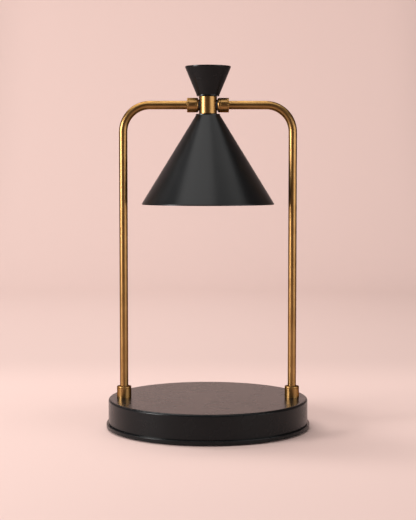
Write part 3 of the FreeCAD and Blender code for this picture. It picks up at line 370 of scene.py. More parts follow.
@dataclass(frozen=True)
class ConePaint(SatinPaint):
    """Satin paint outside a cone that opens downwards, and another colour inside it."""

    inner: Colour = (0.80, 0.76, 0.68)
    inner_shift: float = 0.92
    inner_roughening: float = 0.12
    neck_z: float = 0.0
    mouth_z: float = 0.0
    neck_radius: float = 0.0
    mouth_radius: float = 0.0
    wall: float = 0.0
    land: float = 0.0

    def inside(self, bench: Bench) -> Wire:
        """Tells the inside from the outside by the middle of the wall at each height.

        Args:
            bench: the bench that makes the nodes.

        Returns:
            1 on the inner faces, 0 on the outer ones, the top of the neck plate and the rim.
        """
        across = bench.axis("X")
        along = bench.axis("Y")
        height = bench.axis("Z")
        radius = (across * across + along * along).root()
        slope = (self.neck_radius - self.mouth_radius) / (self.neck_z - self.mouth_z - 2 * self.land)
        shoulder = self.neck_z - self.land
        middle = (height - shoulder) * slope + (self.neck_radius - self.wall / 2)
        middle = middle.least(self.mouth_radius - self.wall / 2)
        below_plate = height < self.neck_z - self.land / 2
        above_rim = height > self.mouth_z + self.land / 4
        return (radius < middle) * below_plate * above_rim

    def build(self, bench: Bench) -> None:
        """Two slightly clouded colours, one on each side.

        Args:
            bench: the bench that makes the nodes.
        """
        inside = self.inside(bench)
        cloud = bench.noise(self.cloud_cell, detail=4)
        outer = bench.mix(cloud, self.colour, dimmed(self.colour, self.lighter))
        inner = bench.mix(cloud, dimmed(self.inner, self.inner_shift), self.inner)
        roughness = self.roughness + self.roughening * cloud + self.inner_roughening * inside
        self.coat(bench, bench.mix(inside, outer, inner), roughness)


@dataclass(frozen=True)
class Metal(Finish):
    """Plated, cast or polished metal."""

    colour: Colour
    roughness: float
    cell: float
    relief: float
    strength: float = 0.5
    roughening: float = 0.12
    shift: float = 0.72
    cloud_cell: float = 12 * MM

    def build(self, bench: Bench) -> None:
        """Grain of one cell size over a slow cloud.

        Args:
            bench: the bench that makes the nodes.
        """
        grain = bench.noise(self.cell, detail=4)
        cloud = bench.noise(self.cloud_cell, detail=3)
        bench.shade({
            "Base Color": bench.mix(cloud, dimmed(self.colour, self.shift), self.colour),
            "Metallic": 1.0,
            "Roughness": self.roughness + self.roughening * grain,
            "Normal": bench.bump(grain, self.relief, self.strength),
        })


@dataclass(frozen=True)
class Moulded(Finish):
    """Plastic, ceramic, foam or lacquer in one colour with a fine texture."""

    colour: Colour
    roughness: float
    cell: float
    relief: float
    strength: float = 0.6
    roughening: float = 0.1
    shift: float = 0.88
    cloud_cell: float = 9 * MM

    def build(self, bench: Bench) -> None:
        """Fine grain in the relief and gloss, and a slow cloud in the colour.

        Args:
            bench: the bench that makes the nodes.
        """
        grain = bench.noise(self.cell, detail=3)
        cloud = bench.noise(self.cloud_cell, detail=3)
        bench.shade({
            "Base Color": bench.mix(cloud, dimmed(self.colour, self.shift), self.colour),
            "Roughness": self.roughness + self.roughening * grain,
            "Normal": bench.bump(grain, self.relief, self.strength),
        })


@dataclass(frozen=True)
class Glass(Finish):
    """Clear glass with a faint haze. body is its opacity, and haze_body what the haze adds."""

    tint: Colour = (0.93, 0.95, 0.94)
    shift: float = 0.97
    haze_cell: float = 3 * MM
    roughness: float = 0.03
    roughening: float = 0.02
    body: float = 0.08
    haze_body: float = 0.04

    def build(self, bench: Bench) -> None:
        """Clear glass, a little hazier in patches.

        Args:
            bench: the bench that makes the nodes.
        """
        haze = bench.noise(self.haze_cell, detail=2)
        bench.shade({
            "Base Color": bench.mix(haze, dimmed(self.tint, self.shift), self.tint),
            "Roughness": self.roughness + self.roughening * haze,
            "Alpha": self.body + self.haze_body * haze,
        })


@dataclass(frozen=True)
class Sleeve(Finish):
    """Braided sleeve of a lamp lead."""

    colour: Colour = (0.74, 0.72, 0.66)
    shift: float = 0.7
    pitch: float = 0.6 * MM
    unevenness: float = 1.5
    depth: float = 0.1 * MM
    strength: float = 0.6
    roughness: float = 0.55
    roughening: float = 0.2

    def build(self, bench: Bench) -> None:
        """Slanting threads, a little uneven.

        Args:
            bench: the bench that makes the nodes.
        """
        settings = {"wave_type": "BANDS", "bands_direction": "DIAGONAL"}
        sockets = {"Vector": bench.spot(), "Scale": 1 / self.pitch, "Distortion": self.unevenness}
        threads = bench.node("ShaderNodeTexWave", settings, sockets, "Fac")
        bench.shade({
            "Base Color": bench.mix(threads, dimmed(self.colour, self.shift), self.colour),
            "Roughness": self.roughness + self.roughening * threads,
            "Normal": bench.bump(threads, self.depth, self.strength),
        })


@dataclass(frozen=True)
class PaleSheet(Finish):
    """Matt paper of the floor and wall, with painted shade: darker towards the back, and much darker past an
    edge round the lamp.
    """

    colour: Colour
    shift: float = 0.98
    cloud_cell: float = 0.5
    # painted shade: the paper darkens towards the back, and much more past the edge at the front and sides
    back_shade_band: tuple[float, float] = (0.22, 0.46)
    back_shade_share: float = 0.87
    edge: tuple[float, float] = (0.42, 0.9)
    edge_shade_share: float = 0.3
    roughness: float = 0.85
    shine: float = 0.2

    def build(self, bench: Bench) -> None:
        """Slow cloud, with painted shade: a darker tone towards the back, and a much darker one past the
        edge, at the front and sides.

        Args:
            bench: the bench that makes the nodes.
        """
        cloud = bench.noise(self.cloud_cell, detail=2)
        across = bench.axis("X")
        along = bench.axis("Y")
        front = along.least(0.0)
        spread = (across * across + front * front).root()
        pale = bench.mix(cloud, dimmed(self.colour, self.shift), self.colour)
        # painted shade: the paper is darker towards the back of the floor and wall
        pale = bench.mix(along.within(*self.back_shade_band), pale, dimmed(self.colour, self.back_shade_share))
        # painted shade: past the edge at the front and sides the paper is much darker
        edge_shade = dimmed(self.colour, self.edge_shade_share)
        bench.shade({
            "Base Color": bench.mix(spread.within(*self.edge), pale, edge_shade),
            "Roughness": self.roughness,
            "Specular IOR Level": self.shine,
        })


def stock_finishes() -> dict[str, Finish]:
    """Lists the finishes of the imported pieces.

    Returns:
        The finish of each of the record's slots.
    """
    same_name = (
        Metal("bright_brass", (0.78, 0.55, 0.24), roughness=0.2, cell=0.5 * MM, relief=0.01 * MM),
        Moulded("pad_foam", (0.03, 0.03, 0.03), roughness=0.75, cell=0.5 * MM, relief=0.15 * MM),
        Metal("zinc_steel", (0.62, 0.62, 0.60), roughness=0.3, cell=0.4 * MM, relief=0.01 * MM),
        Metal("cast_iron", (0.10, 0.095, 0.09), roughness=0.55, cell=1.2 * MM, relief=0.15 * MM),
        Moulded("circuit_board", (0.02, 0.10, 0.035), roughness=0.35, cell=0.6 * MM, relief=0.01 * MM),
        Moulded("black_nylon", (0.018, 0.018, 0.018), roughness=0.45, cell=0.3 * MM, relief=0.02 * MM),
        Moulded("pale_nylon", (0.66, 0.62, 0.52), roughness=0.4, cell=0.3 * MM, relief=0.02 * MM),
        Moulded("film_case", (0.35, 0.05, 0.02), roughness=0.2, cell=1.5 * MM, relief=0.03 * MM),
        Moulded("ferrite", (0.03, 0.03, 0.03), roughness=0.5, cell=0.4 * MM, relief=0.03 * MM),
        Moulded("ceramic", (0.74, 0.71, 0.64), roughness=0.5, cell=0.35 * MM, relief=0.03 * MM, shift=0.94),
        Metal("coated_glass", (0.86, 0.87, 0.88), roughness=0.03, cell=1.5 * MM, relief=0.003 * MM),
        Glass("clear_glass"),
        Sleeve("lead_sleeve"),
    )
    stock: dict[str, Finish] = {finish.name: finish for finish in same_name}
    stock["brass"] = AgedBrass("aged_brass")
    stock["black_paint"] = SatinPaint("satin_black")
    return stock


def node_named(name: str) -> bpy.types.Object:
    """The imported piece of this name."""
    return frame["nodes"][name]


def slot_of(name: str) -> str:
    """The record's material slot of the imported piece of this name."""
    return next(part["material_slot"] for part in frame["record"]["subparts"] if part["node"] == name)


class Shop:
    """Steps that several pieces share. A new piece stays in edit mode until it is finished."""

    SMOOTH_ANGLE = math.radians(35)
    MERGE_DISTANCE = 0.002 * MM
    BEVEL_STEPS = 2
    WIRE_ROUNDNESS = 2

    @staticmethod
    def alone(piece: bpy.types.Object) -> None:
        """Selects a piece and nothing else, and makes it the active one.

        Args:
            piece: the piece.
        """
        bpy.ops.object.select_all(action="DESELECT")
        piece.select_set(True)
        bpy.context.view_layer.objects.active = piece

    @staticmethod
    def started(name: str) -> bpy.types.Object:
        """Names the primitive that was just added and enters its edit mode, with all selected.

        Args:
            name: name of the piece.

        Returns:
            The piece.
        """
        piece = bpy.context.object
        piece.name = piece.data.name = name
        bpy.ops.object.mode_set(mode="EDIT")
        bpy.ops.mesh.select_mode(type="VERT")
        bpy.ops.mesh.select_all(action="SELECT")
        return piece

    @classmethod
    def finished(
        cls, piece: bpy.types.Object, angle: float = SMOOTH_ANGLE, closed: bool = False
    ) -> bpy.types.Object:
        """Leaves edit mode, fixes the place in the mesh and smooths the gentle edges.

        Args:
            piece: the piece that is being edited.
            angle: edges sharper than this stay sharp.
            closed: whether open rings are filled.

        Returns:
            The same piece.
        """
        bpy.ops.mesh.select_all(action="SELECT")
        bpy.ops.mesh.remove_doubles(threshold=cls.MERGE_DISTANCE)
        if closed:
            bpy.ops.mesh.fill_holes(sides=0)
        bpy.ops.mesh.normals_make_consistent(inside=False)
        bpy.ops.object.mode_set(mode="OBJECT")
        bpy.ops.object.transform_apply(location=True, rotation=True, scale=True)
        bpy.ops.object.shade_smooth_by_angle(angle=angle)
        return piece

    @classmethod
    def turned(cls, name: str, profile: Profile, sides: int) -> bpy.types.Object:
        """Turns a profile on the Z axis, one extruded ring for each of its points.

        Args:
            name: name of the piece.
            profile: radius and height of each ring. A radius of 0 closes the end.
            sides: how many faces go round.

        Returns:
            The piece, still in edit mode. Where the profile ends at its start, finished() merges the rings.
        """
        first_radius, first_height = profile[0]
        bpy.ops.object.select_all(action="DESELECT")
        bpy.ops.mesh.primitive_circle_add(vertices=sides, radius=first_radius, location=(0, 0, 0))
        piece = cls.started(name)
        bpy.ops.transform.translate(value=(0, 0, first_height))
        for (radius, height), (next_radius, next_height) in zip(profile, profile[1:]):
            step = {"value": (0, 0, next_height - height)}
            bpy.ops.mesh.extrude_region_move(TRANSFORM_OT_translate=step)
            if next_radius == 0:
                bpy.ops.mesh.merge(type="CENTER")
            elif next_radius != radius:
                share = next_radius / radius
                bpy.ops.transform.resize(value=(share, share, 1), center_override=(0, 0, next_height))
        return piece

    @classmethod
    def block(cls, name: str, low: Point, high: Point, bottom: float, top: float) -> bpy.types.Object:
        """Starts a rectangular piece.

        Args:
            name: name of the piece.
            low: its lowest corner in plan.
            high: its highest corner in plan.
            bottom: height of its lower face.
            top: height of its upper face.

        Returns:
            The piece, still in edit mode.
        """
        bpy.ops.object.select_all(action="DESELECT")
        bpy.ops.mesh.primitive_plane_add(size=1)
        piece = cls.started(name)
        bpy.ops.transform.resize(value=(high[0] - low[0], high[1] - low[1], 1), center_override=(0, 0, 0))
        bpy.ops.transform.translate(value=((low[0] + high[0]) / 2, (low[1] + high[1]) / 2, bottom))
        bpy.ops.mesh.extrude_region_move(TRANSFORM_OT_translate={"value": (0, 0, top - bottom)})
        return piece

    @staticmethod
    def pick_faces(piece: bpy.types.Object, test: Callable[[Vector, Vector], bool]) -> None:
        """Selects the faces that pass a test, and no others.

        Args:
            piece: the piece that is being edited.
            test: takes a face's middle and normal.
        """
        bpy.ops.mesh.select_all(action="DESELECT")
        bpy.ops.mesh.select_mode(type="FACE")
        mesh = bmesh.from_edit_mesh(piece.data)
        for face in mesh.faces:
            face.select_set(test(face.calc_center_median(), face.normal))
        bmesh.update_edit_mesh(piece.data)

    @classmethod
    def bevelled(cls, piece: bpy.types.Object, width: float) -> bpy.types.Object:
        """Rounds a finished piece's sharp edges with an applied bevel.

        Args:
            piece: the piece.
            width: width of the bevel.

        Returns:
            The same piece.
        """
        cls.alone(piece)
        bevel = piece.modifiers.new("rounded_edges", "BEVEL")
        bevel.width = width
        bevel.segments = cls.BEVEL_STEPS
        bevel.limit_method = "ANGLE"
        bevel.angle_limit = cls.SMOOTH_ANGLE
        bpy.ops.object.modifier_apply(modifier=bevel.name)
        bpy.ops.object.shade_smooth_by_angle(angle=cls.SMOOTH_ANGLE)
        return piece

    @classmethod
    def laid(cls, piece: bpy.types.Object, place: Vector, outward: Vector) -> bpy.types.Object:
        """Moves a finished piece that was made on the Z axis, and fixes its new place in its mesh.

        Args:
            piece: the piece.
            place: point to which its origin goes.
            outward: way in which its +Z then points.

        Returns:
            The same piece.
        """
        cls.alone(piece)
        piece.rotation_euler = outward.to_track_quat("Z", "Y").to_euler()
        piece.location = place
        bpy.ops.object.transform_apply(location=True, rotation=True, scale=True)
        return piece

    @classmethod
    def carved(cls, piece: bpy.types.Object, tool: bpy.types.Object, operation: str) -> None:
        """Changes a finished piece by a tool, and deletes the tool.

        Args:
            piece: the piece.
            tool: the piece that is added or cut away.
            operation: UNION or DIFFERENCE.
        """
        cls.alone(piece)
        change = piece.modifiers.new("shaping", "BOOLEAN")
        change.operation = operation
        change.object = tool
        bpy.ops.object.modifier_apply(modifier=change.name)
        bpy.data.objects.remove(tool)

    @classmethod
    def wire(cls, name: str, route: list[Place], radius: float) -> bpy.types.Object:
        """Makes a round wire as a mesh.

        Args:
            name: name of the piece.
            route: points that it follows.
            radius: its radius.

        Returns:
            The finished piece.
        """
        curve = bpy.data.curves.new(name, "CURVE")
        curve.dimensions = "3D"
        curve.bevel_depth = radius
        curve.bevel_resolution = cls.WIRE_ROUNDNESS
        curve.use_fill_caps = True
        line = curve.splines.new("POLY")
        line.points.add(len(route) - 1)
        for point, place in zip(line.points, route):
            point.co = (*place, 1)
        piece = bpy.data.objects.new(name, curve)
        bpy.context.collection.objects.link(piece)
        cls.alone(piece)
        bpy.ops.object.convert(target="MESH")
        bpy.ops.object.shade_smooth()
        return bpy.context.object

    @staticmethod
    def twin(piece: bpy.types.Object, name: str) -> bpy.types.Object:
        """Copies a piece with its own mesh.

        Args:
            piece: the piece to copy.
            name: name of the copy.

        Returns:
            The copy, in the same place.
        """
        copy = piece.copy()
        copy.data = piece.data.copy()
        copy.name = copy.data.name = name
        bpy.context.collection.objects.link(copy)
        return copy

    @classmethod
    def joined(cls, name: str, pieces: list[bpy.types.Object]) -> bpy.types.Object:
        """Joins pieces into one.

        Args:
            name: name of the whole.
            pieces: the pieces.

        Returns:
            The whole, in edit mode.
        """
        cls.alone(pieces[0])
        for piece in pieces:
            piece.select_set(True)
        bpy.context.view_layer.update()
        bpy.ops.object.join()
        return cls.started(name)


def arc(centre: Point, radius: float, start: float, end: float, steps: int) -> Profile:
    """Points of an arc in a profile.

    Args:
        centre: its centre, as radius and height.
        radius: its radius.
        start: first angle in degrees, from the outward direction towards +Z.
        end: last angle in degrees.
        steps: how many steps it is divided into.

    Returns:
        The points, both ends among them.
    """
    turns = [math.radians(start + (end - start) * step / steps) for step in range(steps + 1)]
    return [(centre[0] + radius * math.cos(turn), centre[1] + radius * math.sin(turn)) for turn in turns]


def bowed(start: Point, end: Point, radius: float, steps: int) -> Profile:
    """Points of a profile's arc that bulges away from the axis.

    Args:
        start: its first point, as radius and height.
        end: its last point, which is higher.
        radius: its radius.
        steps: how many steps it is divided into.

    Returns:
        The points, both ends among them.
    """
    first, last = Vector(start), Vector(end)
    chord = last - first
    inward = Vector((-chord.y, chord.x)).normalized()
    centre = (first + last) / 2 + inward * math.sqrt(radius ** 2 - chord.length ** 2 / 4)
    begin = math.degrees(math.atan2(first.y - centre.y, first.x - centre.x))
    finish = math.degrees(math.atan2(last.y - centre.y, last.x - centre.x))
    return arc((centre.x, centre.y), radius, begin, finish, steps)


def hand_over(piece: bpy.types.Object, body: str, finish: Finish, *nodes: str) -> None:
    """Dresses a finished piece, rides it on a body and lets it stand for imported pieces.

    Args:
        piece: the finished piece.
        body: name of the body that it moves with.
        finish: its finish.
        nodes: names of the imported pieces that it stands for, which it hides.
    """
    finish.dress(piece)
    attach(piece, body)
    if nodes:
        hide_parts(*nodes)
        slot_of(nodes[0])
    log.info("%s: %d faces", piece.name, len(piece.data.polygons))


@dataclass
class ConeShade:
    """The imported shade, painted another colour inside."""

    neck_radius: float = 10.9 * MM
    wall: float = 0.94 * MM
    land: float = 1.0 * MM
    roughness: float = 0.26
    shine: float = 0.26

    def build(self) -> None:
        """Paints the shade from its neck to its mouth."""
        low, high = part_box("shade")
        paint = ConePaint(
            "shade_paint",
            neck_z=high[2],
            mouth_z=low[2],
            neck_radius=self.neck_radius,
            mouth_radius=high[0],
            wall=self.wall,
            land=self.land,
            roughness=self.roughness,
            shine=self.shine,
        )
        paint.dress(node_named("shade"))
        log.info("shade: painted inside and out")


@dataclass
class ArmTubes:
    """The two packed tubes, whose scratches turn at the bend."""

    radius: float = 3.75 * MM
    bend_radius: float = 24 * MM

    def build(self) -> None:
        """Dresses both tubes."""
        post_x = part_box("arm_tube_right")[1][0] - self.radius
        brass = AgedBrass("aged_brass_tube", bend_x=post_x - self.bend_radius, post_x=post_x)
        brass.dress(node_named("arm_tube_left"), node_named("arm_tube_right"))
        log.info("arm tubes: scratches turned at the bend")


@dataclass
class SwivelCollars:
    """Turned collars at the arms' inner ends, with a groove near each end."""

    groove_depth: float = 0.16 * MM
    groove_width: float = 0.35 * MM
    groove_inset: float = 1.1 * MM
    inner_round: float = 1.5 * MM
    inner_steps: int = 6
    outer_edge: float = 0.35 * MM
    outer_steps: int = 3
    bore: float = 3.65 * MM
    cavity: float = 5.05 * MM
    web: float = 2.2 * MM
    sides: int = 72

    def profile(self, radius: float, length: float) -> Profile:
        """Section from the inner end outwards: rounded nose, two grooves, open end and cavity.

        Args:
            radius: the collar's radius.
            length: its length.

        Returns:
            The section, which ends at its start.
        """
        nose_middle = (radius - self.inner_round, self.inner_round)
        nose = arc(nose_middle, self.inner_round, -90, 0, self.inner_steps)
        end_middle = (radius - self.outer_edge, length - self.outer_edge)
        end = arc(end_middle, self.outer_edge, 0, 90, self.outer_steps)
        section = [(self.bore, 0.0), *nose]
        first_groove = self.inner_round + self.groove_inset
        second_groove = length - self.groove_inset - self.groove_width
        for start in (first_groove, second_groove):
            section += [
                (radius, start),
                (radius - self.groove_depth, start + self.groove_width / 2),
                (radius, start + self.groove_width),
            ]
        return [
            *section,
            *end,
            (self.cavity, length),
            (self.cavity, self.web),
            (self.bore, self.web),
            (self.bore, 0.0),
        ]

    def build(self, finish: Finish) -> None:
        """Turns one collar, copies it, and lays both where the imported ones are.

        Args:
            finish: the collars' finish.
        """
        low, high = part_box("swivel_collar_left")
        section = self.profile((high[2] - low[2]) / 2, high[0] - low[0])
        left = Shop.finished(Shop.turned("turned_collar_left", section, self.sides))
        right = Shop.twin(left, "turned_collar_right")
        for collar, side, word in ((left, -1, "left"), (right, 1, "right")):
            low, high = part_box(f"swivel_collar_{word}")
            inner = low[0] if side > 0 else high[0]
            Shop.laid(collar, Vector((inner, 0, (low[2] + high[2]) / 2)), Vector((side, 0, 0)))
            hand_over(collar, "base", finish, f"swivel_collar_{word}")


@dataclass
class PostCollars:
    """Turned collars at the posts' feet, with a groove under the rim."""

    groove_depth: float = 0.18 * MM
    groove_width: float = 0.4 * MM
    groove_inset: float = 1.3 * MM
    edge: float = 0.7 * MM
    edge_steps: int = 5
    nut_hole: float = 4.0 * MM
    tube_hole: float = 3.8 * MM
    shoulder: float = 4.0 * MM
    sides: int = 72

    def profile(self, radius: float, height: float) -> Profile:
        """Section from the foot up, round the outside and down the two bores.

        Args:
            radius: the collar's radius.
            height: its height.

        Returns:
            The section, which ends at its start.
        """
        start = height - self.edge - self.groove_inset
        top = arc((radius - self.edge, height - self.edge), self.edge, 0, 90, self.edge_steps)
        return [
            (self.nut_hole, 0.0),
            (radius, 0.0),
            (radius, start),
            (radius - self.groove_depth, start + self.groove_width / 2),
            (radius, start + self.groove_width),
            *top,
            (self.tube_hole, height),
            (self.tube_hole, self.shoulder),
            (self.nut_hole, self.shoulder),
            (self.nut_hole, 0.0),
        ]

    def build(self, finish: Finish) -> None:
        """Turns one collar, copies it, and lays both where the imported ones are.

        Args:
            finish: the collars' finish.
        """
        low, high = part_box("base_collar_left")
        section = self.profile((high[0] - low[0]) / 2, high[2] - low[2])
        left = Shop.finished(Shop.turned("post_collar_left", section, self.sides))
        right = Shop.twin(left, "post_collar_right")
        for collar, word in ((left, "left"), (right, "right")):
            low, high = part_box(f"base_collar_{word}")
            Shop.laid(collar, Vector(((low[0] + high[0]) / 2, 0, low[2])), Vector((0, 0, 1)))
            hand_over(collar, "base", finish, f"base_collar_{word}")


@dataclass
class DimmerKnob:
    """Knob of the dimmer, with ribs raised along its skirt, a dished face and a pointer line."""

    radius: float = 7.5 * MM
    length: float = 12.0 * MM
    wall_gap: float = 1.0 * MM
    strips: int = 80
    rib_height: float = 0.35 * MM
    rib_inset: float = 0.08 * MM
    band_start: float = 1.2 * MM
    edge: float = 0.8 * MM
    edge_steps: int = 5
    dish_radius: float = 5.2 * MM
    dish_depth: float = 0.35 * MM
    recess_radius: float = 6.27 * MM
    recess_depth: float = 3.0 * MM
    shaft_radius: float = 3.0 * MM
    shaft_depth: float = 8.1 * MM
    line_length: float = 3.6 * MM
    line_width: float = 0.9 * MM
    line_height: float = 0.25 * MM
    line_margin: float = 0.4 * MM
    line_edge: float = 0.08 * MM

    def section(self) -> Profile:
        """Section from the bottom of the shaft's hole, out round the skirt and over the face.

        Returns:
            The section.
        """
        rim_middle = (self.radius - self.edge, self.length - self.edge)
        rim = arc(rim_middle, self.edge, 0, 90, self.edge_steps)
        return [
            (self.shaft_radius, self.shaft_depth),
            (self.shaft_radius, self.recess_depth),
            (self.recess_radius, self.recess_depth),
            (self.recess_radius, 0.0),
            (self.radius, 0.0),
            (self.radius, self.band_start),
            (self.radius, self.length - self.band_start),
            *rim,
            (self.dish_radius + self.dish_depth, self.length),
            (self.dish_radius, self.length - self.dish_depth),
            (0.0, self.length - self.dish_depth),
        ]

    def on_a_rib(self, middle: Vector, normal: Vector) -> bool:
        """Tells whether a strip of the skirt is raised as a rib.

        A strip's middle lies at half a strip, so rounding to an even strip raises about one in two, unevenly.

        Args:
            middle: middle of the face.
            normal: its normal, which isn't needed.

        Returns:
            Whether the face lies on the skirt's band and rounds to an even strip.
        """
        half = math.pi / self.strips
        turn = math.atan2(middle.y, middle.x) / half / 2
        on_band = self.band_start < middle.z < self.length - self.band_start
        on_skirt = middle.xy.length > self.recess_radius + self.rib_height
        return on_band and on_skirt and round(turn) % 2 == 0

    def build(self, finish: Finish, line_finish: Finish) -> None:
        """Makes the knob and its pointer line on the dimmer's axis.

        Args:
            finish: the knob's finish.
            line_finish: the pointer line's finish.
        """
        joint = next(item for item in frame["record"]["behaviour"]["joints"] if item["name"] == "dimmer_turn")
        outward = Vector(joint["axis"]).normalized()
        start = Vector(joint["pos_m"]) + outward * self.wall_gap
        knob = Shop.turned("fluted_knob", self.section(), self.strips)
        Shop.pick_faces(knob, self.on_a_rib)
        # the skirt's faces point inwards until the knob is finished, so a negative depth raises them
        bpy.ops.mesh.inset(thickness=self.rib_inset, depth=-self.rib_height, use_individual=True)
        Shop.laid(Shop.finished(knob), start, outward)
        hand_over(knob, "dimmer", finish, "dimmer_knob")
        low = (self.dish_radius - self.line_length, -self.line_width / 2)
        high = (self.dish_radius - self.line_margin, self.line_width / 2)
        floor = self.length - self.dish_depth
        line = Shop.block("pointer_line", low, high, floor, floor + self.line_height)
        Shop.laid(Shop.bevelled(Shop.finished(line), self.line_edge), start, outward)
        hand_over(line, "dimmer", line_finish)


@dataclass
class CordEntry:
    """Cord gland at the back: threaded stem, flange and ribbed nose.

    first_notch, notch_slope and notch_width are shares of the pitch of the notches between the ribs.
    """

    bore: float = 3.2 * MM
    stem_radius: float = 5.5 * MM
    stem_length: float = 9.0 * MM
    thread_depth: float = 0.3 * MM
    thread_pitch: float = 1.0 * MM
    flange_radius: float = 7.0 * MM
    flange_thickness: float = 2.4 * MM
    flange_edge: float = 0.4 * MM
    nose_radius: float = 5.0 * MM
    nose_length: float = 7.0 * MM
    nose_edge: float = 0.8 * MM
    nose_steps: int = 4
    ribs: int = 4
    rib_depth: float = 0.5 * MM
    first_notch: float = 0.35
    notch_slope: float = 0.12
    notch_width: float = 0.42
    sides: int = 48

    def stem(self) -> Profile:
        """Section of the threaded stem.

        Returns:
            The points from its inner end to the flange.
        """
        root = self.stem_radius - self.thread_depth
        points = [(self.bore, 0.0), (root, 0.0)]
        for turn in range(int(self.stem_length / self.thread_pitch) - 1):
            start = (turn + 0.5) * self.thread_pitch
            points += [(self.stem_radius, start), (root, start + self.thread_pitch / 2)]
        return [*points, (root, self.stem_length)]

    def flange(self, end: float) -> Profile:
        """Section of the flange.

        Args:
            end: height of its outer face.

        Returns:
            The points from the stem to the nose.
        """
        inner = self.flange_radius - self.flange_edge
        return [
            (inner, self.stem_length),
            (self.flange_radius, self.stem_length + self.flange_edge),
            (self.flange_radius, end - self.flange_edge),
            (inner, end),
            (self.nose_radius, end),
        ]

    def nose(self, start: float) -> Profile:
        """Section of the ribbed nose.

        Args:
            start: height at which it leaves the flange.

        Returns:
            The points from the flange to the end of the nose.
        """
        pitch = (self.nose_length - self.nose_edge) / self.ribs
        waist = self.nose_radius - self.rib_depth
        points = []
        for rib in range(self.ribs):
            notch = start + (rib + self.first_notch) * pitch
            points += [
                (self.nose_radius, notch),
                (waist, notch + self.notch_slope * pitch),
                (waist, notch + self.notch_width * pitch),
                (self.nose_radius, notch + (self.notch_width + self.notch_slope) * pitch),
            ]
        end_middle = (self.nose_radius - self.nose_edge, start + self.nose_length - self.nose_edge)
        return [*points, *arc(end_middle, self.nose_edge, 0, 90, self.nose_steps)]

    def section(self) -> Profile:
        """Section from the stem's end over threads, flange and ribs, and back down the bore.

        Returns:
            The section, which ends at its start.
        """
        flange_end = self.stem_length + self.flange_thickness
        end = flange_end + self.nose_length
        outside = [*self.stem(), *self.flange(flange_end), *self.nose(flange_end)]
        return [*outside, (self.bore, end), (self.bore, 0.0)]

    def build(self, finish: Finish) -> None:
        """Makes the gland on the axis of its bore, from its packed place.

        Args:
            finish: the gland's finish.
        """
        low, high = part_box("cord_gland")
        gland = Shop.turned("ribbed_gland", self.section(), self.sides)
        Shop.laid(Shop.finished(gland), Vector((0, low[1], (low[2] + high[2]) / 2)), Vector((0, 1, 0)))
        hand_over(gland, "base", finish, "cord_gland")


@dataclass
class TopNut:
    """Acorn nut that clamps the upper cup: a hexagon with a dome, whose arc ends at dome_end degrees."""

    hex_sides: int = 6
    hex_height: float = 3.9 * MM
    edge: float = 0.35 * MM
    bevel: float = 0.12 * MM
    dome_radius: float = 4.15 * MM
    dome_end: float = 84
    dome_steps: int = 9
    bore: float = 4.0 * MM
    bore_depth: float = 4.5 * MM
    sides: int = 48

    def solid(self, name: str, profile: Profile, sides: int) -> bpy.types.Object:
        """Turns a closed solid from a profile."""
        return Shop.finished(Shop.turned(name, profile, sides), closed=True)

    def build(self, finish: Finish) -> None:
        """Joins a hexagon and a dome and drills them from below.

        Args:
            finish: the nut's finish.
        """
        low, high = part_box("finial_nut")
        radius = (high[0] - low[0]) / 2
        height = high[2] - low[2]
        flats = [
            (radius - self.edge, 0.0),
            (radius, self.edge),
            (radius, self.hex_height - self.edge),
            (radius - 2 * self.edge, self.hex_height),
        ]
        nut = self.solid("acorn_nut", flats, self.hex_sides)
        cap = arc((0.0, height - self.dome_radius), self.dome_radius, 0, self.dome_end, self.dome_steps)
        dome = [(self.dome_radius, self.hex_height / 2), *cap, (0.0, height)]
        Shop.carved(nut, self.solid("acorn_dome", dome, self.sides), "UNION")
        drill = [(self.bore, -self.edge), (self.bore, self.bore_depth)]
        Shop.carved(nut, self.solid("acorn_drill", drill, self.sides), "DIFFERENCE")
        Shop.laid(Shop.bevelled(nut, self.bevel), Vector((0, 0, low[2])), Vector((0, 0, 1)))
        hand_over(nut, "head", finish, "finial_nut")


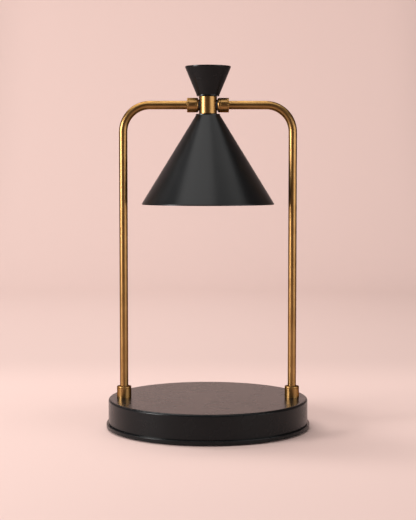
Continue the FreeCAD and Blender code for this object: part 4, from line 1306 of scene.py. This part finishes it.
@dataclass
class TwistLamp:
    """Twist-lock lamp: faceted glass cup, a halogen capsule and its coiled filament.

    Where arcs start and end is in degrees. neck_drop and pinch_width are shares of the bulb's radius, and
    pinch_share is the seal's thickness as a share of its width.
    """

    neck_radius: float = 9.5 * MM
    wall: float = 1.2 * MM
    rim: float = 2.5 * MM
    glass: float = 1.6 * MM
    bulge: float = 42.0 * MM
    capsule_hole: float = 4.6 * MM
    facets: int = 36
    facet_angle: float = math.radians(2)
    rows: int = 9

    bulb_radius: float = 4.2 * MM
    bulb_start: float = -72
    bulb_steps: int = 7
    tip_radius: float = 0.7 * MM
    tip_start: float = -80
    tip_end: float = 30
    tip_steps: int = 4
    neck_drop: float = 0.8
    neck_end: float = 48
    neck_steps: int = 5
    pinch_height: float = 5.0 * MM
    pinch_width: float = 0.66
    pinch_share: float = 0.42
    capsule_sides: int = 36

    filament_radius: float = 0.9 * MM
    filament_length: float = 5.0 * MM
    filament_turns: int = 9
    filament_steps: int = 12
    filament_wire: float = 0.13 * MM
    post_spread: float = 2.5 * MM

    def cup(self, radius: float, length: float) -> Profile:
        """Section of the glass cup from its front rim, up the outside and back down the inside.

        Args:
            radius: radius of the rim.
            length: length from the rim to the neck's end.

        Returns:
            The section, which ends at its start.
        """
        outer = bowed((radius, self.rim), (self.neck_radius, length), self.bulge, self.rows)
        inside = radius - 2 * self.wall
        top = length - self.wall
        inner_end = (self.neck_radius - self.wall, top)
        inner = bowed((inside, self.rim), inner_end, self.bulge - self.wall, self.rows)
        return [
            (radius - self.wall, 0.0),
            (radius, 0.0),
            *outer,
            (self.capsule_hole, length),
            (self.capsule_hole, top),
            *reversed(inner),
            (inside, self.glass),
            (radius - self.wall, self.glass),
            (radius - self.wall, 0.0),
        ]

    def build(self, cup_finish: Finish, capsule_finish: Finish, filament_finish: Finish) -> None:
        """Makes the cup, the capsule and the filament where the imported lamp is.

        Args:
            cup_finish: the cup's finish.
            capsule_finish: the capsule's finish.
            filament_finish: the filament's finish.
        """
        low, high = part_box("lamp_reflector")
        section = self.cup((high[0] - low[0]) / 2, high[2] - low[2])
        cup = Shop.finished(Shop.turned("faceted_reflector", section, self.facets), self.facet_angle)
        Shop.laid(cup, Vector((0, 0, low[2])), Vector((0, 0, 1)))
        hand_over(cup, "lamp", cup_finish, "lamp_reflector")
        self.capsule(capsule_finish)
        self.filament(filament_finish)

    def capsule(self, finish: Finish) -> None:
        """Makes the glass capsule: sealed tip below, round bulb and a flat pinched seal above.

        Args:
            finish: the capsule's finish.
        """
        low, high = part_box("lamp_capsule")
        height = high[2] - low[2]
        shoulder = height - self.pinch_height
        tip = arc((0.0, self.tip_radius), self.tip_radius, self.tip_start, self.tip_end, self.tip_steps)
        bulb_middle = (0.0, self.bulb_radius + self.tip_radius)
        bulb = arc(bulb_middle, self.bulb_radius, self.bulb_start, 0, self.bulb_steps)
        neck_middle = (0.0, shoulder - self.bulb_radius * self.neck_drop)
        neck = arc(neck_middle, self.bulb_radius, 0, self.neck_end, self.neck_steps)
        pinch_radius = self.bulb_radius * self.pinch_width
        pinch = [(pinch_radius, shoulder), (pinch_radius, height)]
        capsule = Shop.turned("halogen_capsule", [*tip, *bulb, *neck, *pinch], self.capsule_sides)
        Shop.pick_faces(capsule, lambda middle, normal: middle.z > shoulder)
        bpy.ops.transform.resize(value=(1, self.pinch_share, 1), center_override=(0, 0, height))
        Shop.laid(Shop.finished(capsule, closed=True), Vector((0, 0, low[2])), Vector((0, 0, 1)))
        hand_over(capsule, "lamp", finish, "lamp_capsule")

    def filament(self, finish: Finish) -> None:
        """Makes the coil that lies across the bulb, on two posts from the seal.

        Args:
            finish: the filament's finish.
        """
        low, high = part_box("lamp_capsule")
        level = low[2] + self.bulb_radius + 2 * self.tip_radius
        seal = high[2] - self.pinch_height / 2
        foot = level + 2 * self.filament_radius
        steps = self.filament_turns * self.filament_steps
        coil = []
        for step in range(steps + 1):
            turn = 2 * math.pi * self.filament_turns * step / steps
            across = self.filament_length * (step / steps - 0.5)
            along = self.filament_radius * math.sin(turn)
            coil.append((across, along, level + self.filament_radius * math.cos(turn)))
        route = [
            (-self.post_spread, 0.0, seal),
            (-self.post_spread, 0.0, foot),
            *coil,
            (self.post_spread, 0.0, foot),
            (self.post_spread, 0.0, seal),
        ]
        hand_over(Shop.wire("lamp_filament", route, self.filament_wire), "lamp", finish)


@dataclass
class DimmerCoil:
    """Choke on the dimmer's board: a round core under turns of enamelled wire."""

    core_share: float = 0.74
    core_steps: int = 40
    core_sides: int = 12
    wire: float = 0.42 * MM
    turns: int = 22
    turn_steps: int = 16
    turn_sides: int = 6

    def winding(self, middle: Vector, ring: float, reach: float) -> bpy.types.Object:
        """Makes one turn of wire and lays its copies round the core.

        Args:
            middle: the core's middle.
            ring: radius of the core's middle line.
            reach: radius of a turn's middle line.

        Returns:
            All the turns as one finished piece.
        """
        bpy.ops.object.select_all(action="DESELECT")
        bpy.ops.mesh.primitive_torus_add(
            major_radius=reach,
            minor_radius=self.wire,
            major_segments=self.turn_steps,
            minor_segments=self.turn_sides,
        )
        first = bpy.context.object
        loops = [first, *(Shop.twin(first, "wire_turn") for copy in range(self.turns - 1))]
        for turn, loop in enumerate(loops):
            angle = 2 * math.pi * turn / self.turns
            loop.rotation_euler = (math.pi / 2, 0, angle)
            loop.location = middle + Vector((math.cos(angle), math.sin(angle), 0)) * ring
        return Shop.finished(Shop.joined("choke_winding", loops))

    def build(self, core_finish: Finish, wire_finish: Finish) -> None:
        """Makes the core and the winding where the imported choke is.

        Args:
            core_finish: the core's finish.
            wire_finish: the winding's finish.
        """
        low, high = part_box("choke")
        middle = Vector([(a + b) / 2 for a, b in zip(low, high)])
        thick = (high[2] - low[2]) / 2
        ring = (high[0] - low[0]) / 2 - thick
        bpy.ops.object.select_all(action="DESELECT")
        bpy.ops.mesh.primitive_torus_add(
            major_radius=ring,
            minor_radius=thick * self.core_share,
            major_segments=self.core_steps,
            minor_segments=self.core_sides,
        )
        core = Shop.finished(Shop.started("choke_core"))
        hand_over(Shop.laid(core, middle, Vector((0, 0, 1))), "base", core_finish, "choke")
        hand_over(self.winding(middle, ring, thick - self.wire), "base", wire_finish)


@dataclass(frozen=True)
class SoftLamp:
    """Soft rectangular lamp of the studio, with its power in watts."""

    name: str
    place: Place
    target: Place
    size: tuple[float, float]
    power: float
    colour: Colour = (1, 0.985, 0.97)

    def hang(self) -> None:
        """Adds the lamp, turned to its target and hidden from the camera."""
        turn = (Vector(self.target) - Vector(self.place)).to_track_quat("-Z", "Y").to_euler()
        bpy.ops.object.light_add(type="AREA", location=self.place, rotation=turn)
        light = bpy.context.object
        light.name = self.name
        light.data.shape = "RECTANGLE"
        light.data.size, light.data.size_y = self.size
        light.data.energy = self.power
        light.data.color = self.colour
        light.visible_camera = False


@dataclass
class Studio:
    """Plain pale floor that sweeps up into a wall, soft lamps and the camera."""

    eye: Place = (0.0, -1.1843, 0.2278)
    tilt_down: float = math.radians(3.697)
    focal_length: float = 91.15
    frame_height: float = 36.0
    far_limit: float = 20.0
    floor_radius: float = 1.4
    sweep: float = 0.8
    sweep_steps: int = 24
    wall_height: float = 2.0
    cove_sides: int = 120
    paper: Colour = (0.69, 0.515, 0.473)
    surround: Colour = (0.9, 0.72, 0.66)
    surround_strength: float = 0.05
    lamps: tuple[SoftLamp, ...] = (
        SoftLamp("left_lamp", (-1.27, -0.59, 0.45), target=(0, 0, 0.17), size=(0.5, 0.6), power=21),
        SoftLamp("right_lamp", (1.15, -0.80, 0.30), target=(0, 0, 0.17), size=(1.3, 0.7), power=8),
        SoftLamp("top_left_lamp", (-0.32, -0.43, 1.25), target=(-0.3, -0.35, 0), size=(1.1, 0.6), power=5.6),
        SoftLamp("top_right_lamp", (0.62, -0.2, 1.25), target=(0.6, -0.12, 0), size=(0.8, 0.5), power=2.4),
        SoftLamp("back_lamp", (-0.6, 0.7, 1.9), target=(-0.3, 1.9, 0.3), size=(1.8, 0.8), power=51),
    )

    def camera(self) -> None:
        """Adds the camera of the photograph's view."""
        bpy.ops.object.camera_add(location=self.eye, rotation=(math.pi / 2 - self.tilt_down, 0, 0))
        camera = bpy.context.object
        camera.name = "camera"
        camera.data.sensor_fit = "VERTICAL"
        camera.data.sensor_height = self.frame_height
        camera.data.lens = self.focal_length
        camera.data.clip_end = self.far_limit
        bpy.context.scene.camera = camera

    def backdrop(self) -> None:
        """Adds the round paper floor, which sweeps up into a wall on all sides."""
        floor_end = (self.floor_radius, self.sweep)
        sweep = arc(floor_end, self.sweep, 0, -90, self.sweep_steps)
        profile = [(self.floor_radius + self.sweep, self.wall_height), *sweep, (0.0, 0.0)]
        sheet = Shop.finished(Shop.turned("paper_cove", profile, self.cove_sides))
        PaleSheet("pale_sheet", self.paper).dress(sheet)

    def world(self) -> None:
        """Adds the dim surround."""
        world = bpy.data.worlds.new("surround")
        bpy.context.scene.world = world
        world.use_nodes = True
        ground = world.node_tree.nodes["Background"]
        ground.inputs["Color"].default_value = (*self.surround, 1)
        ground.inputs["Strength"].default_value = self.surround_strength

    def build(self) -> None:
        """Sets the view transform and adds everything."""
        bpy.context.scene.view_settings.view_transform = "Standard"
        self.backdrop()
        for lamp in self.lamps:
            lamp.hang()
        self.world()
        self.camera()
        log.info("studio: floor, %d lamps and camera", len(self.lamps))


def main() -> None:
    """Builds the scene in order and reports each piece."""
    logging.basicConfig(level=logging.INFO, format="%(name)s: %(message)s")
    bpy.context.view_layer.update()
    bpy.ops.object.select_all(action="DESELECT")
    stock = stock_finishes()
    for name, node in frame["nodes"].items():
        stock[slot_of(name)].dress(node)
        log.info("%s: dressed in %s", name, slot_of(name))
    ConeShade().build()
    ArmTubes().build()
    SwivelCollars().build(AgedBrass("aged_brass_level", grain=Grain.ACROSS))
    PostCollars().build(stock["brass"])
    DimmerKnob().build(stock["brass"], stock["pale_nylon"])
    CordEntry().build(stock["black_nylon"])
    TopNut().build(stock["brass"])
    tungsten = Metal("tungsten", (0.45, 0.43, 0.40), roughness=0.35, cell=0.3 * MM, relief=0.005 * MM)
    TwistLamp().build(stock["coated_glass"], stock["clear_glass"], tungsten)
    copper = Metal("enamelled_copper", (0.62, 0.24, 0.09), roughness=0.25, cell=0.4 * MM, relief=0.005 * MM)
    DimmerCoil().build(stock["ferrite"], copper)
    Studio().build()


if __name__ == "__main__":
    main()
